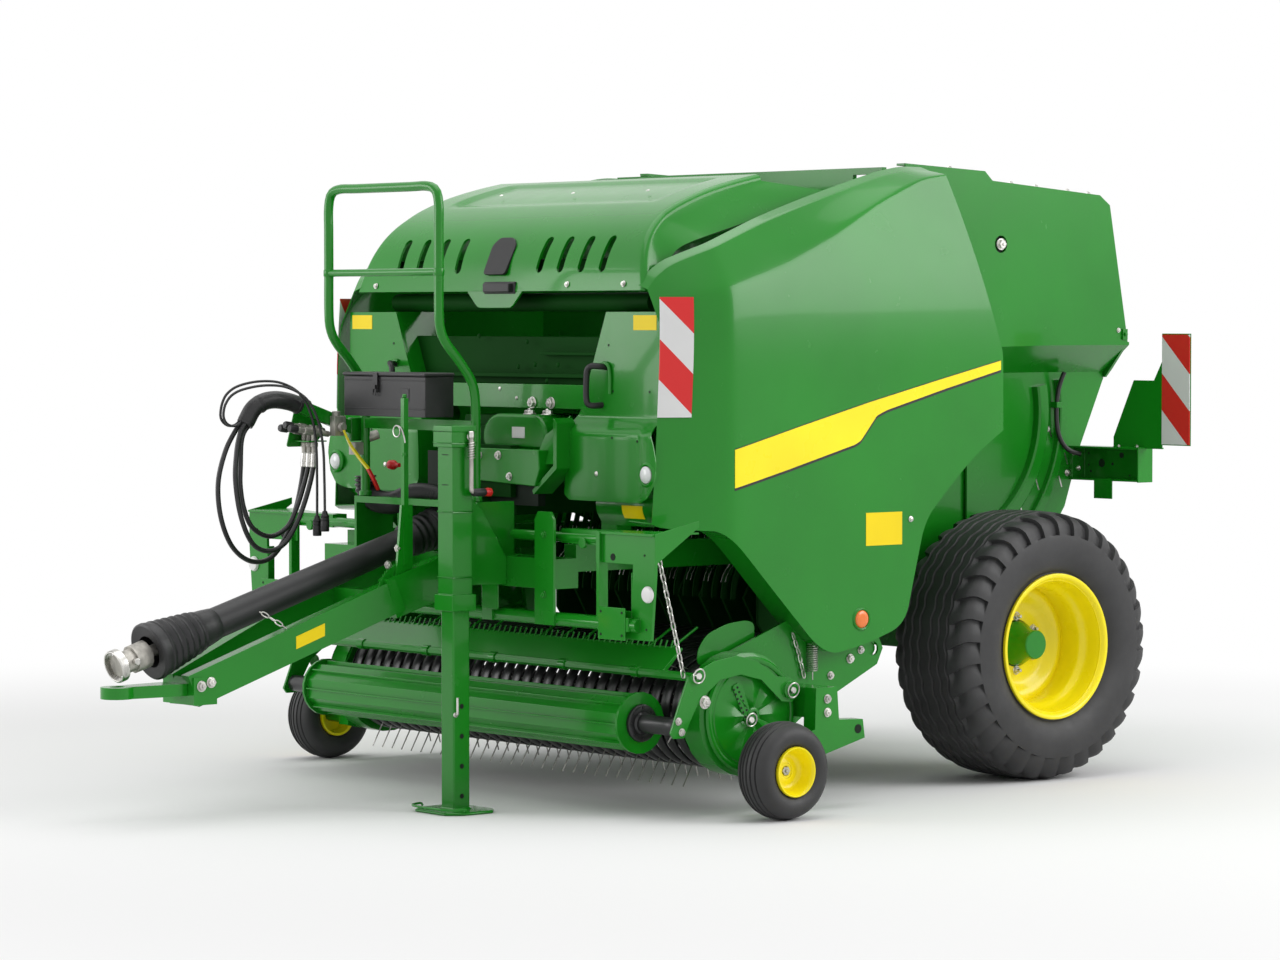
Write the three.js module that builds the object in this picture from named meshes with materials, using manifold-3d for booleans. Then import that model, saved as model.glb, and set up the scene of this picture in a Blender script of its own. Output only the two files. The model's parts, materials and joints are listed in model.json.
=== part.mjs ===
// Round baler: a towed machine that picks up dry crop and rolls it into a bale.
// Millimetres, +Z up. The machine travels towards -Y and its left side is +X.
// Inside this file the axle line is y = 0; the finished group moves it to y = AXLE_Y, so that the
// origin is on the ground under the middle of the machine's length.
import * as THREE from 'three';
import { mergeVertices } from 'three/addons/utils/BufferGeometryUtils.js';
import Module from 'manifold-3d';

const wasm = await Module();
wasm.setup();

// ---------- driving dimensions ----------
const AXLE_Y = 1445;
const FRONT_Y = -3660;
const GAP = 0.4;

const WHEEL = { radius: 529, sides: 36, inner: 725, outer: 1165, rimRadius: 258, flange: 287 };
const AXLE_Z = WHEEL.radius * Math.cos(Math.PI / WHEEL.sides);
const GAUGE = { radius: 180, sides: 24, y: -1668, inner: 1320, outer: 1479, rimRadius: 84 };
const GAUGE_Z = GAUGE.radius * Math.cos(Math.PI / GAUGE.sides);

const CHAMBER = { y: -130, z: 1430, pitch: 675, roller: 85, sides: 10, spacing: 22.5 };
const HINGE = { y: 28, z: 2102, pin: 20 };
const WALL = { inner: 630, outer: 642 };
const GATE_WALL = { inner: 648, outer: 660 };
const COVER = { outer: 800, sheet: 12 };
// The rear cover's roof edge swings inside this radius about the tailgate hinge.
const COVER_SWEEP = 260;

const PICKUP = { y: -1620, z: 360, bands: 210, half: 1035, plate: 1045 };
const PICKUP_PIVOT = { y: -900, z: 560 };
const GUARD_PIVOT = { y: -1460, z: 445 };
const ROLLER = { y: -1987, z: 339, radius: 113, half: 980 };
const RAKE = { y: -1895, z: 513, radius: 17 };
const ROTOR = { y: -860, z: 730, radius: 225, half: 560 };

const STAND = { x: 440, y: -2420, tube: 90, leg: 76 };
const PTO = { frontY: -3190, frontZ: 700, rearY: -2200, rearZ: 1011, tube: 38 };
const HOOP = { half: 345, tube: 18, top: 2296, rung: 1980, rungTube: 14, frontY: -2420, rearY: -2250 };
const SLOT_LEAN = (6 * Math.PI) / 180;

const GREEN = new THREE.MeshStandardMaterial({ color: 0x1c8a24, roughness: 0.35, metalness: 0.1 });
const YELLOW = new THREE.MeshStandardMaterial({ color: 0xf5dc00, roughness: 0.35, metalness: 0.1 });
const BLACK = new THREE.MeshStandardMaterial({ color: 0x17181a, roughness: 0.6, metalness: 0.0 });
const RUBBER = new THREE.MeshStandardMaterial({ color: 0x222222, roughness: 0.8, metalness: 0.0 });
const ZINC = new THREE.MeshStandardMaterial({ color: 0xb9bcc0, roughness: 0.35, metalness: 0.9 });
const BOARD = new THREE.MeshStandardMaterial({ color: 0xe4e4e4, roughness: 0.4, metalness: 0.0 });

const machine = new THREE.Group();
machine.position.set(0, AXLE_Y, 0);

// ---------- shapes ----------
function signedVolume(positions, index) {
  let sum = 0;
  const corner = [new THREE.Vector3(), new THREE.Vector3(), new THREE.Vector3()];
  for (let i = 0; i < index.length; i += 3) {
    corner.forEach((point, k) => point.fromArray(positions, 3 * index[i + k]));
    sum += corner[0].dot(corner[1].clone().cross(corner[2]));
  }
  return sum / 6;
}

function asSolid(geometry) {
  const bare = new THREE.BufferGeometry();
  const loose = geometry.index ? geometry.toNonIndexed() : geometry;
  bare.setAttribute('position', loose.getAttribute('position').clone());
  const merged = mergeVertices(bare, 0.01);
  const vertProperties = new Float32Array(merged.getAttribute('position').array);
  const triVerts = new Uint32Array(merged.index.array);
  if (signedVolume(vertProperties, triVerts) < 0) {
    for (let i = 0; i < triVerts.length; i += 3) {
      [triVerts[i], triVerts[i + 1]] = [triVerts[i + 1], triVerts[i]];
    }
  }
  const mesh = new wasm.Mesh({ numProp: 3, vertProperties, triVerts });
  mesh.merge();
  return new wasm.Manifold(mesh);
}

function asGeometry(solid) {
  const mesh = solid.getMesh();
  const geometry = new THREE.BufferGeometry();
  geometry.setAttribute('position', new THREE.Float32BufferAttribute(mesh.vertProperties, 3));
  geometry.setIndex(new THREE.Uint32BufferAttribute(mesh.triVerts, 1));
  geometry.computeVertexNormals();
  return geometry;
}

function weld(...pieces) {
  return asGeometry(pieces.map(asSolid).reduce((whole, piece) => whole.add(piece)));
}

function carve(body, ...tools) {
  return asGeometry(tools.map(asSolid).reduce((whole, tool) => whole.subtract(tool), asSolid(body)));
}

function box(x0, x1, y0, y1, z0, z1) {
  const geometry = new THREE.BoxGeometry(x1 - x0, y1 - y0, z1 - z0);
  return geometry.translate((x0 + x1) / 2, (y0 + y1) / 2, (z0 + z1) / 2);
}

function extrude(outline, depth, across, up, along) {
  const shape = new THREE.Shape(outline.map(([u, v]) => new THREE.Vector2(u, v)));
  const geometry = new THREE.ExtrudeGeometry(shape, { depth, bevelEnabled: false });
  return geometry.applyMatrix4(new THREE.Matrix4().makeBasis(across, up, along));
}

const X = new THREE.Vector3(1, 0, 0);
const Y = new THREE.Vector3(0, 1, 0);
const Z = new THREE.Vector3(0, 0, 1);

// A plate whose outline is a list of [y, z] points, from x0 to x1.
function plateX(outline, x0, x1) {
  return extrude(outline, x1 - x0, Y, Z, X).translate(x0, 0, 0);
}

// A plate whose outline is a list of [x, z] points, from y0 to y1.
function plateY(outline, y0, y1) {
  return extrude(outline, y1 - y0, X, Z, Y.clone().negate()).translate(0, y1, 0);
}

// A plate whose outline is a list of [x, y] points, from z0 to z1.
function plateZ(outline, z0, z1) {
  return extrude(outline, z1 - z0, X, Y, Z).translate(0, 0, z0);
}

function rod(from, to, radius, sides = 12, radiusTo = radius) {
  const start = new THREE.Vector3(...from);
  const end = new THREE.Vector3(...to);
  const run = end.clone().sub(start);
  const geometry = new THREE.CylinderGeometry(radiusTo, radius, run.length(), sides);
  geometry.applyQuaternion(new THREE.Quaternion().setFromUnitVectors(Y, run.normalize()));
  return geometry.translate(...start.add(end).multiplyScalar(0.5).toArray());
}

// A box-section beam between two points, width along X and height across it.
function beam(from, to, width, height) {
  const start = new THREE.Vector3(...from);
  const end = new THREE.Vector3(...to);
  const run = end.clone().sub(start);
  const geometry = new THREE.BoxGeometry(width, run.length(), height);
  const across = new THREE.Vector3().crossVectors(run, Z).normalize();
  const up = new THREE.Vector3().crossVectors(across, run).normalize();
  geometry.applyMatrix4(new THREE.Matrix4().makeBasis(across, run.clone().normalize(), up));
  return geometry.translate(...start.add(end).multiplyScalar(0.5).toArray());
}

function tube(points, radius, sides = 10, steps = 30) {
  const path = new THREE.CatmullRomCurve3(points.map((p) => new THREE.Vector3(...p)));
  const ring = [];
  for (let k = 0; k < sides; k += 1) {
    const angle = (2 * Math.PI * k) / sides;
    ring.push(new THREE.Vector2(radius * Math.cos(angle), radius * Math.sin(angle)));
  }
  return new THREE.ExtrudeGeometry(new THREE.Shape(ring), {
    steps,
    bevelEnabled: false,
    extrudePath: path,
  });
}

// A body of revolution about the line y, z along X. The profile is [x, radius] points and closes on
// itself; a flat of the polygon is at the bottom.
function turned(profile, sides, y, z) {
  const ring = [...profile, profile[0]].map(([x, radius]) => new THREE.Vector2(radius, x));
  const geometry = new THREE.LatheGeometry(ring, sides, Math.PI / sides);
  return geometry.rotateZ(-Math.PI / 2).translate(0, y, z);
}

function drum(x0, x1, radius, sides, y, z) {
  const geometry = new THREE.CylinderGeometry(radius, radius, x1 - x0, sides, 1, false, Math.PI / sides);
  return geometry.rotateZ(-Math.PI / 2).translate((x0 + x1) / 2, y, z);
}

function mirrored(geometry) {
  return geometry.clone().scale(-1, 1, 1);
}

function around(centre, radius, degrees) {
  const angle = (degrees * Math.PI) / 180;
  return [centre.y + radius * Math.cos(angle), centre.z + radius * Math.sin(angle)];
}

function arc(centre, radius, from, to, steps) {
  const points = [];
  for (let k = 0; k <= steps; k += 1) {
    points.push(around(centre, radius, from + ((to - from) * k) / steps));
  }
  return points;
}

function addPart(name, geometry, material) {
  const mesh = new THREE.Mesh(asGeometry(asSolid(geometry)), material);
  mesh.name = name;
  machine.add(mesh);
}

function addPair(name, geometry, material) {
  addPart(`${name}_left`, geometry, material);
  addPart(`${name}_right`, mirrored(geometry), material);
}

// ---------- running gear ----------
function tyreProfile() {
  const { inner, outer, radius, rimRadius, flange } = WHEEL;
  const seat = rimRadius + 5;
  return [
    [outer - 36, seat], [outer - 36, flange + 5], [outer - 8, 330], [outer, 400], [outer - 12, 480],
    [outer - 50, radius], [inner + 50, radius], [inner + 12, 480], [inner, 400], [inner + 8, 330],
    [inner + 36, flange + 5], [inner + 36, seat],
  ];
}

function rimProfile() {
  const { inner, outer, rimRadius, flange } = WHEEL;
  const face = outer - 19;
  return [
    [face, flange], [face, flange - 20], [face - 30, 246], [960, 232], [928, 205], [920, 92],
    [900, 92], [906, 215], [inner + 60, 240], [inner + 19, flange - 20], [inner + 19, flange],
    [inner + 33, flange], [inner + 34, rimRadius], [outer - 35, rimRadius], [outer - 34, flange],
  ];
}

function buildWheels() {
  addPair('tyre', turned(tyreProfile(), WHEEL.sides, 0, AXLE_Z), RUBBER);
  addPair('wheel_rim', turned(rimProfile(), 20, 0, AXLE_Z), YELLOW);
  const hub = weld(
    drum(822, 1032, 58, 12, 0, AXLE_Z),
    drum(870, 960, 86, 12, 0, AXLE_Z),
    drum(870, 900 - GAP, 140, 12, 0, AXLE_Z),
  );
  addPair('wheel_hub', hub, GREEN);
}

function buildAxle() {
  const saddle = box(610, WALL.inner - GAP, -60, 8, AXLE_Z, 690);
  const axle = weld(
    box(-812, 812, -50, 50, AXLE_Z - 50, AXLE_Z + 50),
    saddle,
    mirrored(saddle),
  );
  addPart('axle', axle, GREEN);
}

// ---------- bale chamber and frame ----------
function chamberRollers(angles, half) {
  return angles.map((angle) => {
    const [y, z] = around(CHAMBER, CHAMBER.pitch, angle);
    return drum(-half, half, CHAMBER.roller, CHAMBER.sides, y, z);
  });
}

const HINGE_ANGLE = 76.8;
const FRONT_STEPS = [0.5, 1.5, 2.5, 3.5, 4.5, 5.5, 7.5, 8.5];
const GATE_STEPS = [-0.5, -1.5, -2.5, -3.5, -4.5, -5.5, -6.5];
const rollerAngles = (steps) => steps.map((step) => HINGE_ANGLE + step * CHAMBER.spacing);

function buildChamber() {
  const outline = [
    [-1140, 2250], [-190, 2250], ...arc(HINGE, COVER_SWEEP, 146, 166, 3),
    ...arc(HINGE, 42, 110, -60, 4), [10, 2040], [10, 600],
    [-360, 600], [-700, 820], [-700, 900], [-1140, 1080],
  ];
  const mouth = plateX([[-700, 700], [-1150, 700], [-1150, 980], [-700, 980]], 600, 660);
  const wall = carve(plateX(outline, WALL.inner, WALL.outer), mouth);
  const pin = drum(WALL.inner, COVER.outer - 4, HINGE.pin, 12, HINGE.y, HINGE.z);
  const doorArms = [-1000, -660].map((y) => box(WALL.inner, 846, y, y + 24, 2216, 2240));
  const cylinderPin = drum(WALL.inner, 678, 28, 10, -900, 1500);
  const side = weld(wall, pin, ...doorArms, cylinderPin);
  const chamber = weld(
    side,
    mirrored(side),
    ...chamberRollers(rollerAngles(FRONT_STEPS), WALL.inner + 4),
    box(-636, 636, -1140, -188, 2250 - 8, 2250),
    box(-636, 636, -620, -600, 2250 - 4, 2370),
    box(-800, 800, -620, -596, 2366, 2392),
    box(-636, 636, -1140, -1130, 1500, 2250),
    box(-636, 636, -1140, -1080, 1420, 1500),
    box(-636, 636, -1140, -1080, 1080, 1140),
  );
  addPart('bale_chamber', chamber, GREEN);
}

function buildFrame() {
  const rail = weld(
    box(WALL.outer + GAP, 712, -2070, -700, 880, 980),
    beam([690, -760, 900], [690, -720, 600], 44, 120),
    box(370, 384, -2275, -2100, 900, 1130),
    box(590, 680, -1850, -1780, 940, 1500),
  );
  const outrigger = weld(
    plateX([[-1000, 960], [-800, 960], [-860, 520], [-940, 520]], 990, 1010),
    drum(1000, 1040, 24, 12, PICKUP_PIVOT.y, PICKUP_PIVOT.z),
    box(700, 1000, -960, -840, 900, 970),
  );
  const frame = weld(
    box(-712, 712, -2180, -2060, 820, 930),
    rail, mirrored(rail),
    outrigger, mirrored(outrigger),
    box(-700, 700, -1858, -1780, 1470, 1560),
    box(-640, 640, -1858, -1140 - GAP, 1470, 1480),
    box(-384, 384, -2275, -2225, 1105, 1130),
  );
  addPart('main_frame', frame, GREEN);
}

function buildDrawbar() {
  const side = weld(
    beam([62, -3330, 470], [190, -2500, 790], 60, 120),
    beam([185, -2540, 775], [205, -2225, 874], 60, 150),
    box(175, 235, -2230, -2180 - GAP, 832, 950),
  );
  const quadrant = plateX([[-2520, 800], [-2440, 800], [-2440, 1120], [-2490, 1120]], 196, 208);
  const pole = box(192, 212, -2482, -2462, 900, 1515);
  const brace = box(-200, 200, -2540, -2480, 740, 800);
  addPart('drawbar', weld(
    side, mirrored(side),
    box(-100, 100, -3340, -3240, 420, 520),
    brace, quadrant, pole,
  ), GREEN);
  const ringReach = 60 * Math.cos(Math.PI / 16);
  const eye = carve(
    weld(
      drum(-21, 21, 60, 16, 0, 0).rotateY(Math.PI / 2).translate(0, FRONT_Y + ringReach, 475),
      plateZ([[-38, -3580], [38, -3580], [60, -3400], [60, -3341], [-60, -3341], [-60, -3400]], 453, 497),
    ),
    rod([0, FRONT_Y + ringReach, 400], [0, FRONT_Y + ringReach, 550], 27, 16),
  );
  addPart('drawbar_eye', eye, GREEN);
}

// ---------- front end ----------
function buildDriveline() {
  const { frontY, frontZ, rearY, rearZ } = PTO;
  const slope = (rearZ - frontZ) / (rearY - frontY);
  const onLine = (y) => [0, y, frontZ + (y - frontY) * slope];
  const guard = weld(
    rod(onLine(-3200), onLine(-2290), PTO.tube, 12),
    rod(onLine(-3470), onLine(-3190), 108, 16, 62),
    rod(onLine(-2330), onLine(-2130), 66, 16, 80),
  );
  addPart('pto_guard', carve(guard, rod(onLine(-3480), onLine(-2000), 30, 12)), BLACK);
  const yoke = weld(
    rod(onLine(-3600), onLine(-2000), 22, 12),
    rod(onLine(-3600), onLine(-3540), 42, 12),
    rod(onLine(-3540), onLine(-3480), 52, 12),
  );
  addPart('pto_yoke', yoke, ZINC);
  const gearbox = weld(
    box(-170, 170, -1920, -1500, 1065, 1400),
    rod(onLine(-1990), onLine(-1900), 60, 12),
    box(-210, 210, -1980, -1940, 1135, 1330),
    box(-120, 120, -1945, -1900, 1140, 1320),
    plateY([[-210, 1330], [-170, 1440], [150, 1440], [210, 1330]], -1900, -1560),
  );
  addPart('gearbox', carve(gearbox, rod(onLine(-2100), onLine(-1890), 26, 12)), GREEN);
}

function buildCowls() {
  const lower = plateZ([[450, -1927], [890, -1927], [950, -1876], [965, -1874], [965, -1862], [450, -1915]],
    1130, 1465);
  const upper = plateY([[500, 1460], [650, 1832], [958, 1832], [958, 1460]], -1874, -1862);
  addPair('front_cowl', weld(lower, upper), GREEN);
}

function buildHoop() {
  const { half, tube: radius, top, rung, rungTube, frontY, rearY } = HOOP;
  const bend = 70;
  const leg = (side) => [
    [side * half, rearY, 1131], [side * half, rearY, 1300], [side * half, rearY, 1500],
    [side * half, rearY - 20, 1570], [side * half, frontY + 30, 1710], [side * half, frontY, 1790],
    [side * half, frontY, 2000], [side * half, frontY, top - bend],
    [side * (half - 0.3 * bend), frontY, top - 0.3 * bend], [side * (half - bend), frontY, top],
  ];
  const route = [...leg(1), ...leg(-1).reverse()];
  const hoop = weld(
    tube(route, radius, 8, 32),
    rod([-half, frontY, rung], [half, frontY, rung], rungTube, 8),
    box(-half, half, rearY - 12, rearY + 12, 1390, 1430),
  );
  addPart('handrail_hoop', hoop, GREEN);
}

function buildToolbox() {
  const [x0, x1, y0, y1, z0, z1, wall] = [-270, 240, -2404, -2272, 1442, 1592, 6];
  const inside = box(x0 + wall, x1 - wall, y0 + wall, y1 - wall, z0 + wall, z1 + 10);
  addPart('toolbox', carve(box(x0, x1, y0, y1, z0, z1), inside), BLACK);
  addPart('toolbox_lid', box(x0 - 4, x1 + 4, y0 - 6, y1 + 4, z1 + 1, z1 + 15), BLACK);
}

function buildStand() {
  const { x, y, tube: wide, leg } = STAND;
  const half = wide / 2;
  const inside = half - 5;
  const sleeve = weld(
    box(x - half, x + half, y - half, y + half, 760, 1400),
    box(x - half - 10, x + half + 10, y - half - 10, y + half + 10, 740, 800),
    box(x - half - 12, x + half + 12, y - half - 12, y + half + 12, 1340, 1418),
    plateX([[y + half, 830], [-2180 - GAP, 825], [-2180 - GAP, 925], [-2290, 1100], [y + half, 1180]], 400, 440),
  );
  const bore = box(x - inside, x + inside, y - inside, y + inside, 700, 1390);
  addPart('stand_sleeve', carve(sleeve, bore), GREEN);
  const foot = plateZ([[x - 90, y - 120], [x + 90, y - 120], [x + 135, y - 60], [x + 135, y + 70],
    [x + 90, y + 110], [x - 90, y + 110], [x - 135, y + 70], [x - 135, y - 60]], 0, 12);
  const post = weld(
    box(x - leg / 2, x + leg / 2, y - leg / 2, y + leg / 2, 10, 980),
    foot,
  );
  addPart('stand_leg', post, GREEN);
  const crankX = x + 72;
  const crankY = y + 20;
  addPart('stand_crank', weld(
    rod([x + half + 13, crankY, 1378], [crankX, crankY, 1378], 14, 8),
    rod([crankX, crankY, 1398], [crankX, crankY, 1175], 9, 8),
    rod([crankX, crankY - 4, 1180], [crankX, crankY + 75, 1172], 14, 8),
  ), ZINC);
}

function buildFrontBars() {
  const tubeY = -2150;
  const side = weld(
    plateY([[930, 1042], [1262, 1042], [1262, 900], [1240, 660], [1030, 660], [1030, 762], [1130, 762],
      [1140, 930], [930, 930]], tubeY - 6, tubeY + 6),
    plateX([[tubeY - 6, 930], [tubeY - 6, 1042], [-1950, 1085], [-1950, 1060]], 1256, 1262),
    plateZ([[930, tubeY], [1262, tubeY], [1262, -1950], [1240, -1950], [930, -2060]], 1036, 1042),
    box(700, 950, -2140, -2072, 990, 1042),
    box(950, 968, tubeY - 20, tubeY + 20, 700, 1042),
  );
  const straps = [[306, 366, 1004], [620, 731, 1104]].map(([x0, x1, top]) => plateY(
    [[x0, 690], [x1, 690], [x1, top - 30], [x1 - 20, top], [x0 + 20, top], [x0, top - 30]], -2192, -2180 - GAP,
  ));
  const bars = weld(
    carve(side, box(600, 712 + GAP, -2200, -2050, 900, 1100)),
    carve(mirrored(side), box(-712 - GAP, -600, -2200, -2050, 900, 1100)),
    rod([-1180, -2160, 712], [1180, -2160, 712], 25, 10),
    ...straps,
  );
  addPart('front_bars', bars, GREEN);
}

// ---------- panels ----------
// The outer face of the left side door: columns run along the machine, rows rise from the lower
// edge to the upper one.
const DOOR_BOTTOM = [
  [-1935, 1060], [-1900, 1045], [-1800, 1037], [-1688, 1030], [-1450, 790], [-1208, 550],
  [-1000, 585], [-797, 650], [-745, 850], [-693, 1042], [-560, 1170], [-420, 1290], [-277, 1377],
];
const DOOR_TOP = [
  [-1893, 1915], [-1862, 1962], [-1815, 2003], [-1740, 2037], [-1590, 2095], [-1410, 2163],
  [-1270, 2208], [-1130, 2250], [-1000, 2286], [-880, 2319], [-740, 2355], [-620, 2376], [-505, 2376],
];
const DOOR_ROWS = [0, 0.2, 0.4, 0.6, 0.75, 0.88, 1];

function doorX(y, z, row) {
  const corner = Math.max(0, (-1650 - y) / 285);
  const lean = Math.max(0, z - 1600);
  const lip = Math.max(0, (row - 0.85) / 0.15);
  return 1122 - 140 * corner ** 2 - 0.00016 * lean ** 2 - 80 * lip;
}

function buildDoors() {
  const columns = DOOR_BOTTOM.length;
  const rows = DOOR_ROWS.length;
  const positions = [];
  const index = [];
  for (const skin of [0, 22]) {
    for (let column = 0; column < columns; column += 1) {
      const [yLow, zLow] = DOOR_BOTTOM[column];
      const [yHigh, zHigh] = DOOR_TOP[column];
      for (const row of DOOR_ROWS) {
        const y = yLow + (yHigh - yLow) * row;
        const z = zLow + (zHigh - zLow) * row;
        positions.push(doorX(y, z, row) - skin, y, z);
      }
    }
  }
  const vertex = (skin, column, row) => (skin * columns + column) * rows + row;
  const face = (a, b, c, d) => index.push(a, b, c, a, c, d);
  for (let column = 0; column < columns - 1; column += 1) {
    for (let row = 0; row < rows - 1; row += 1) {
      const corners = (skin) => [vertex(skin, column, row), vertex(skin, column + 1, row),
        vertex(skin, column + 1, row + 1), vertex(skin, column, row + 1)];
      face(...corners(0));
      face(...corners(1).reverse());
    }
    face(vertex(0, column, 0), vertex(1, column, 0), vertex(1, column + 1, 0), vertex(0, column + 1, 0));
    face(vertex(0, column + 1, rows - 1), vertex(1, column + 1, rows - 1),
      vertex(1, column, rows - 1), vertex(0, column, rows - 1));
  }
  for (let row = 0; row < rows - 1; row += 1) {
    face(vertex(0, 0, row + 1), vertex(1, 0, row + 1), vertex(1, 0, row), vertex(0, 0, row));
    face(vertex(0, columns - 1, row), vertex(1, columns - 1, row),
      vertex(1, columns - 1, row + 1), vertex(0, columns - 1, row + 1));
  }
  const skin = new THREE.BufferGeometry();
  skin.setAttribute('position', new THREE.Float32BufferAttribute(positions, 3));
  skin.setIndex(index);
  addPair('side_door', skin, GREEN);
}

function buildHood() {
  const half = 888;
  const roofHalf = 806;
  const sheet = 14;
  const crown = [[-1895, 1912], [-1868, 2034], [-1818, 2123], [-1733, 2197], [-1621, 2255], [-1480, 2306],
    [-1249, 2352]];
  const lining = [[-1249, 2328], [-1470, 2281], [-1610, 2230], [-1718, 2173], [-1798, 2103], [-1845, 2026],
    [-1870, 1905]];
  const nose = [[-1895, 1912], [-1868, 2034], [-1845, 2026], [-1870, 1905]];
  const cheek = [...crown, [-975, 2294], [-1060, 2262], [-1225, 2205], [-1359, 2165], [-1562, 2110],
    [-1727, 2060], [-1798, 1975], [-1850, 1905]];
  const tab = plateY([[-150, 1935], [150, 1935], [95, 1835], [-95, 1835]], -1895, -1880);
  const side = plateX(cheek, roofHalf - sheet, roofHalf);
  const slots = [300, 400, 500, 600].flatMap((x) => {
    const slot = new THREE.BoxGeometry(44, 400, 140).rotateY(SLOT_LEAN).translate(x, -1790, 2085);
    return [slot, mirrored(slot)];
  });
  addPart('front_hood', carve(
    weld(plateX([...crown, ...lining], -roofHalf, roofHalf), plateX(nose, -half, half), side, mirrored(side), tab),
    ...slots,
  ), GREEN);
}

// ---------- tailgate ----------
function buildTailgate() {
  const outline = [
    ...arc(HINGE, 58, 200, 90, 4), [200, 2210], [632, 2210], [740, 1720], [758, 1560], [626, 1289],
    ...arc(CHAMBER, 770, -30, -80, 4), [-20, 690], [-20, 2000],
  ];
  const hole = drum(600, 700, HINGE.pin + 5, 12, HINGE.y, HINGE.z);
  const wall = carve(plateX(outline, GATE_WALL.inner, GATE_WALL.outer), hole);
  const lug = weld(
    plateX([[-70, 1760], [40, 1760], [60, 1860], [-60, 1860]], GATE_WALL.outer - 2, 672),
    drum(664, 690, 18, 10, -32, 1802),
  );
  const side = weld(wall, lug);
  const backEdge = [[770, 1566], [626, 1289], ...arc(CHAMBER, 770, -30, -70, 3)];
  const inEdge = [[756, 1566], [614, 1293], ...arc(CHAMBER, 760, -30, -70, 3)].reverse();
  const gate = weld(
    side, mirrored(side),
    ...chamberRollers(rollerAngles(GATE_STEPS), GATE_WALL.inner + 4),
    plateX([...backEdge, ...inEdge], -652, 652),
  );
  addPart('tailgate', gate, GREEN);
}

function buildRearCover() {
  const { outer, sheet } = COVER;
  const sideOutline = [[-497, 2410], [-62, 2389], [-20, 2352], [590, 2306], [648, 2266], [757, 1707],
    [-330, 1690]];
  const porthole = drum(700, 900, 35, 12, HINGE.y, HINGE.z);
  const side = carve(plateX(sideOutline, outer - sheet, outer), porthole);
  const flange = plateX([[-497, 2410], [-62, 2389], [-62, 2380], [-497, 2401]], 752, outer - 4);
  const roof = plateX([[20, 2349], [590, 2306], [648, 2266], [757, 1707], [770, 1600], [770, 1567 + GAP],
    [760, 1567 + GAP], [745, 1707], [638, 2258], [584, 2294], [20, 2337]], -outer + 4, outer - 4);
  const skirtCut = plateY([[660 + GAP, 1560], [900, 1560], [900, 1720], [outer + 1, 1706]], 600, 900);
  const skirt = plateY([[GATE_WALL.outer + GAP, 1590], [outer, 1700], [outer, 1712],
    [GATE_WALL.outer + GAP, 1602]], -100, 764);
  addPart('rear_cover', weld(
    side, mirrored(side), flange, mirrored(flange),
    carve(roof, skirtCut, mirrored(skirtCut)),
    skirt, mirrored(skirt),
  ), GREEN);
}

function buildLightBars() {
  const bar = weld(
    carve(box(GATE_WALL.outer + GAP, 1045, 560, 640, 1152, 1290),
      box(GATE_WALL.outer + 20, 1100, 553, 632, 1160, 1282)),
    box(800, 900, 560, 566, 1080, 1160),
    plateY([[870, 1290 - 4], [1136, 1290 - 4], [1136, 1640], [1090, 1560], [980, 1560], [870, 1330]], 600, 606),
  );
  addPair('light_bar', bar, GREEN);
  addPair('marker_board', box(1136 + GAP, 1290, 594, 602, 1310, 1730), BOARD);
}

function buildLiftCylinders() {
  const pivot = [-900, 1500];
  const eye = [-32, 1802];
  const run = Math.hypot(eye[0] - pivot[0], eye[1] - pivot[1]);
  const unit = [(eye[0] - pivot[0]) / run, (eye[1] - pivot[1]) / run];
  const at = (distance) => [715, pivot[0] + unit[0] * distance, pivot[1] + unit[1] * distance];
  const barrel = carve(
    weld(rod(at(30), at(680), 29, 12), drum(690, 740, 34, 12, ...pivot)),
    rod(at(60), at(700), 20, 12),
    drum(670, 760, 20, 12, ...pivot),
  );
  addPair('lift_barrel', barrel, GREEN);
  addPair('lift_rod', weld(rod(at(300), at(run - 20), 16, 12), drum(700, 730, 30, 12, ...eye)), ZINC);
}

// ---------- pickup ----------
function buildPickup() {
  const { y, z, bands, half, plate } = PICKUP;
  const centre = { y, z };
  const outside = [...arc(centre, bands, 255, 90, 9), [-1130, 612]];
  const inside = [...arc(centre, bands - 14, 255, 90, 9), [-1130, 598]].reverse();
  addPart('pickup_bands', plateX([...outside, ...inside], -half, half), BLACK);
  const sidePlate = plateX([...arc(centre, 225, 215, 90, 5), [-1300, 700], [-1180, 700], [-960, 620],
    [-880, 620], [-850, 560], [-880, 500], [-1250, 330], ...arc(centre, 225, 300, 235, 2)], plate, plate + 10);
  const dome = turned([[plate + 5, 228], [plate + 100, 228], [plate + 125, 190], [plate + 125, 20],
    [plate + 5, 20]], 24, y, z);
  const arm = weld(
    drum(plate, 1192, 20, 10, GUARD_PIVOT.y, GUARD_PIVOT.z),
    box(plate, 1214, -1390, -1280, 340, 450),
  );
  const pivotHole = drum(900, 1200, 27, 12, PICKUP_PIVOT.y, PICKUP_PIVOT.z);
  const side = carve(weld(sidePlate, dome, arm), pivotHole, drum(900, 1500, 19, 10, y, z));
  addPart('pickup_frame', weld(
    side, mirrored(side),
    drum(-plate - 4, plate + 4, 38, 10, -1320, 330),
    box(-plate - 4, plate + 4, -1190, -1150, 540, 580),
  ), GREEN);
  const bars = [];
  for (let k = 0; k < 5; k += 1) {
    const [barY, barZ] = around(centre, 140, 90 + 72 * k);
    bars.push(drum(-1020, 1020, 16, 6, barY, barZ));
  }
  const spiders = [-1010, 1000].map((x) => drum(x, x + 10, 165, 12, y, z));
  addPart('pickup_reel', weld(drum(-1060, 1060, 14, 8, y, z), drum(-1010, 1010, 40, 8, y, z), ...bars, ...spiders),
    BLACK);
}

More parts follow.
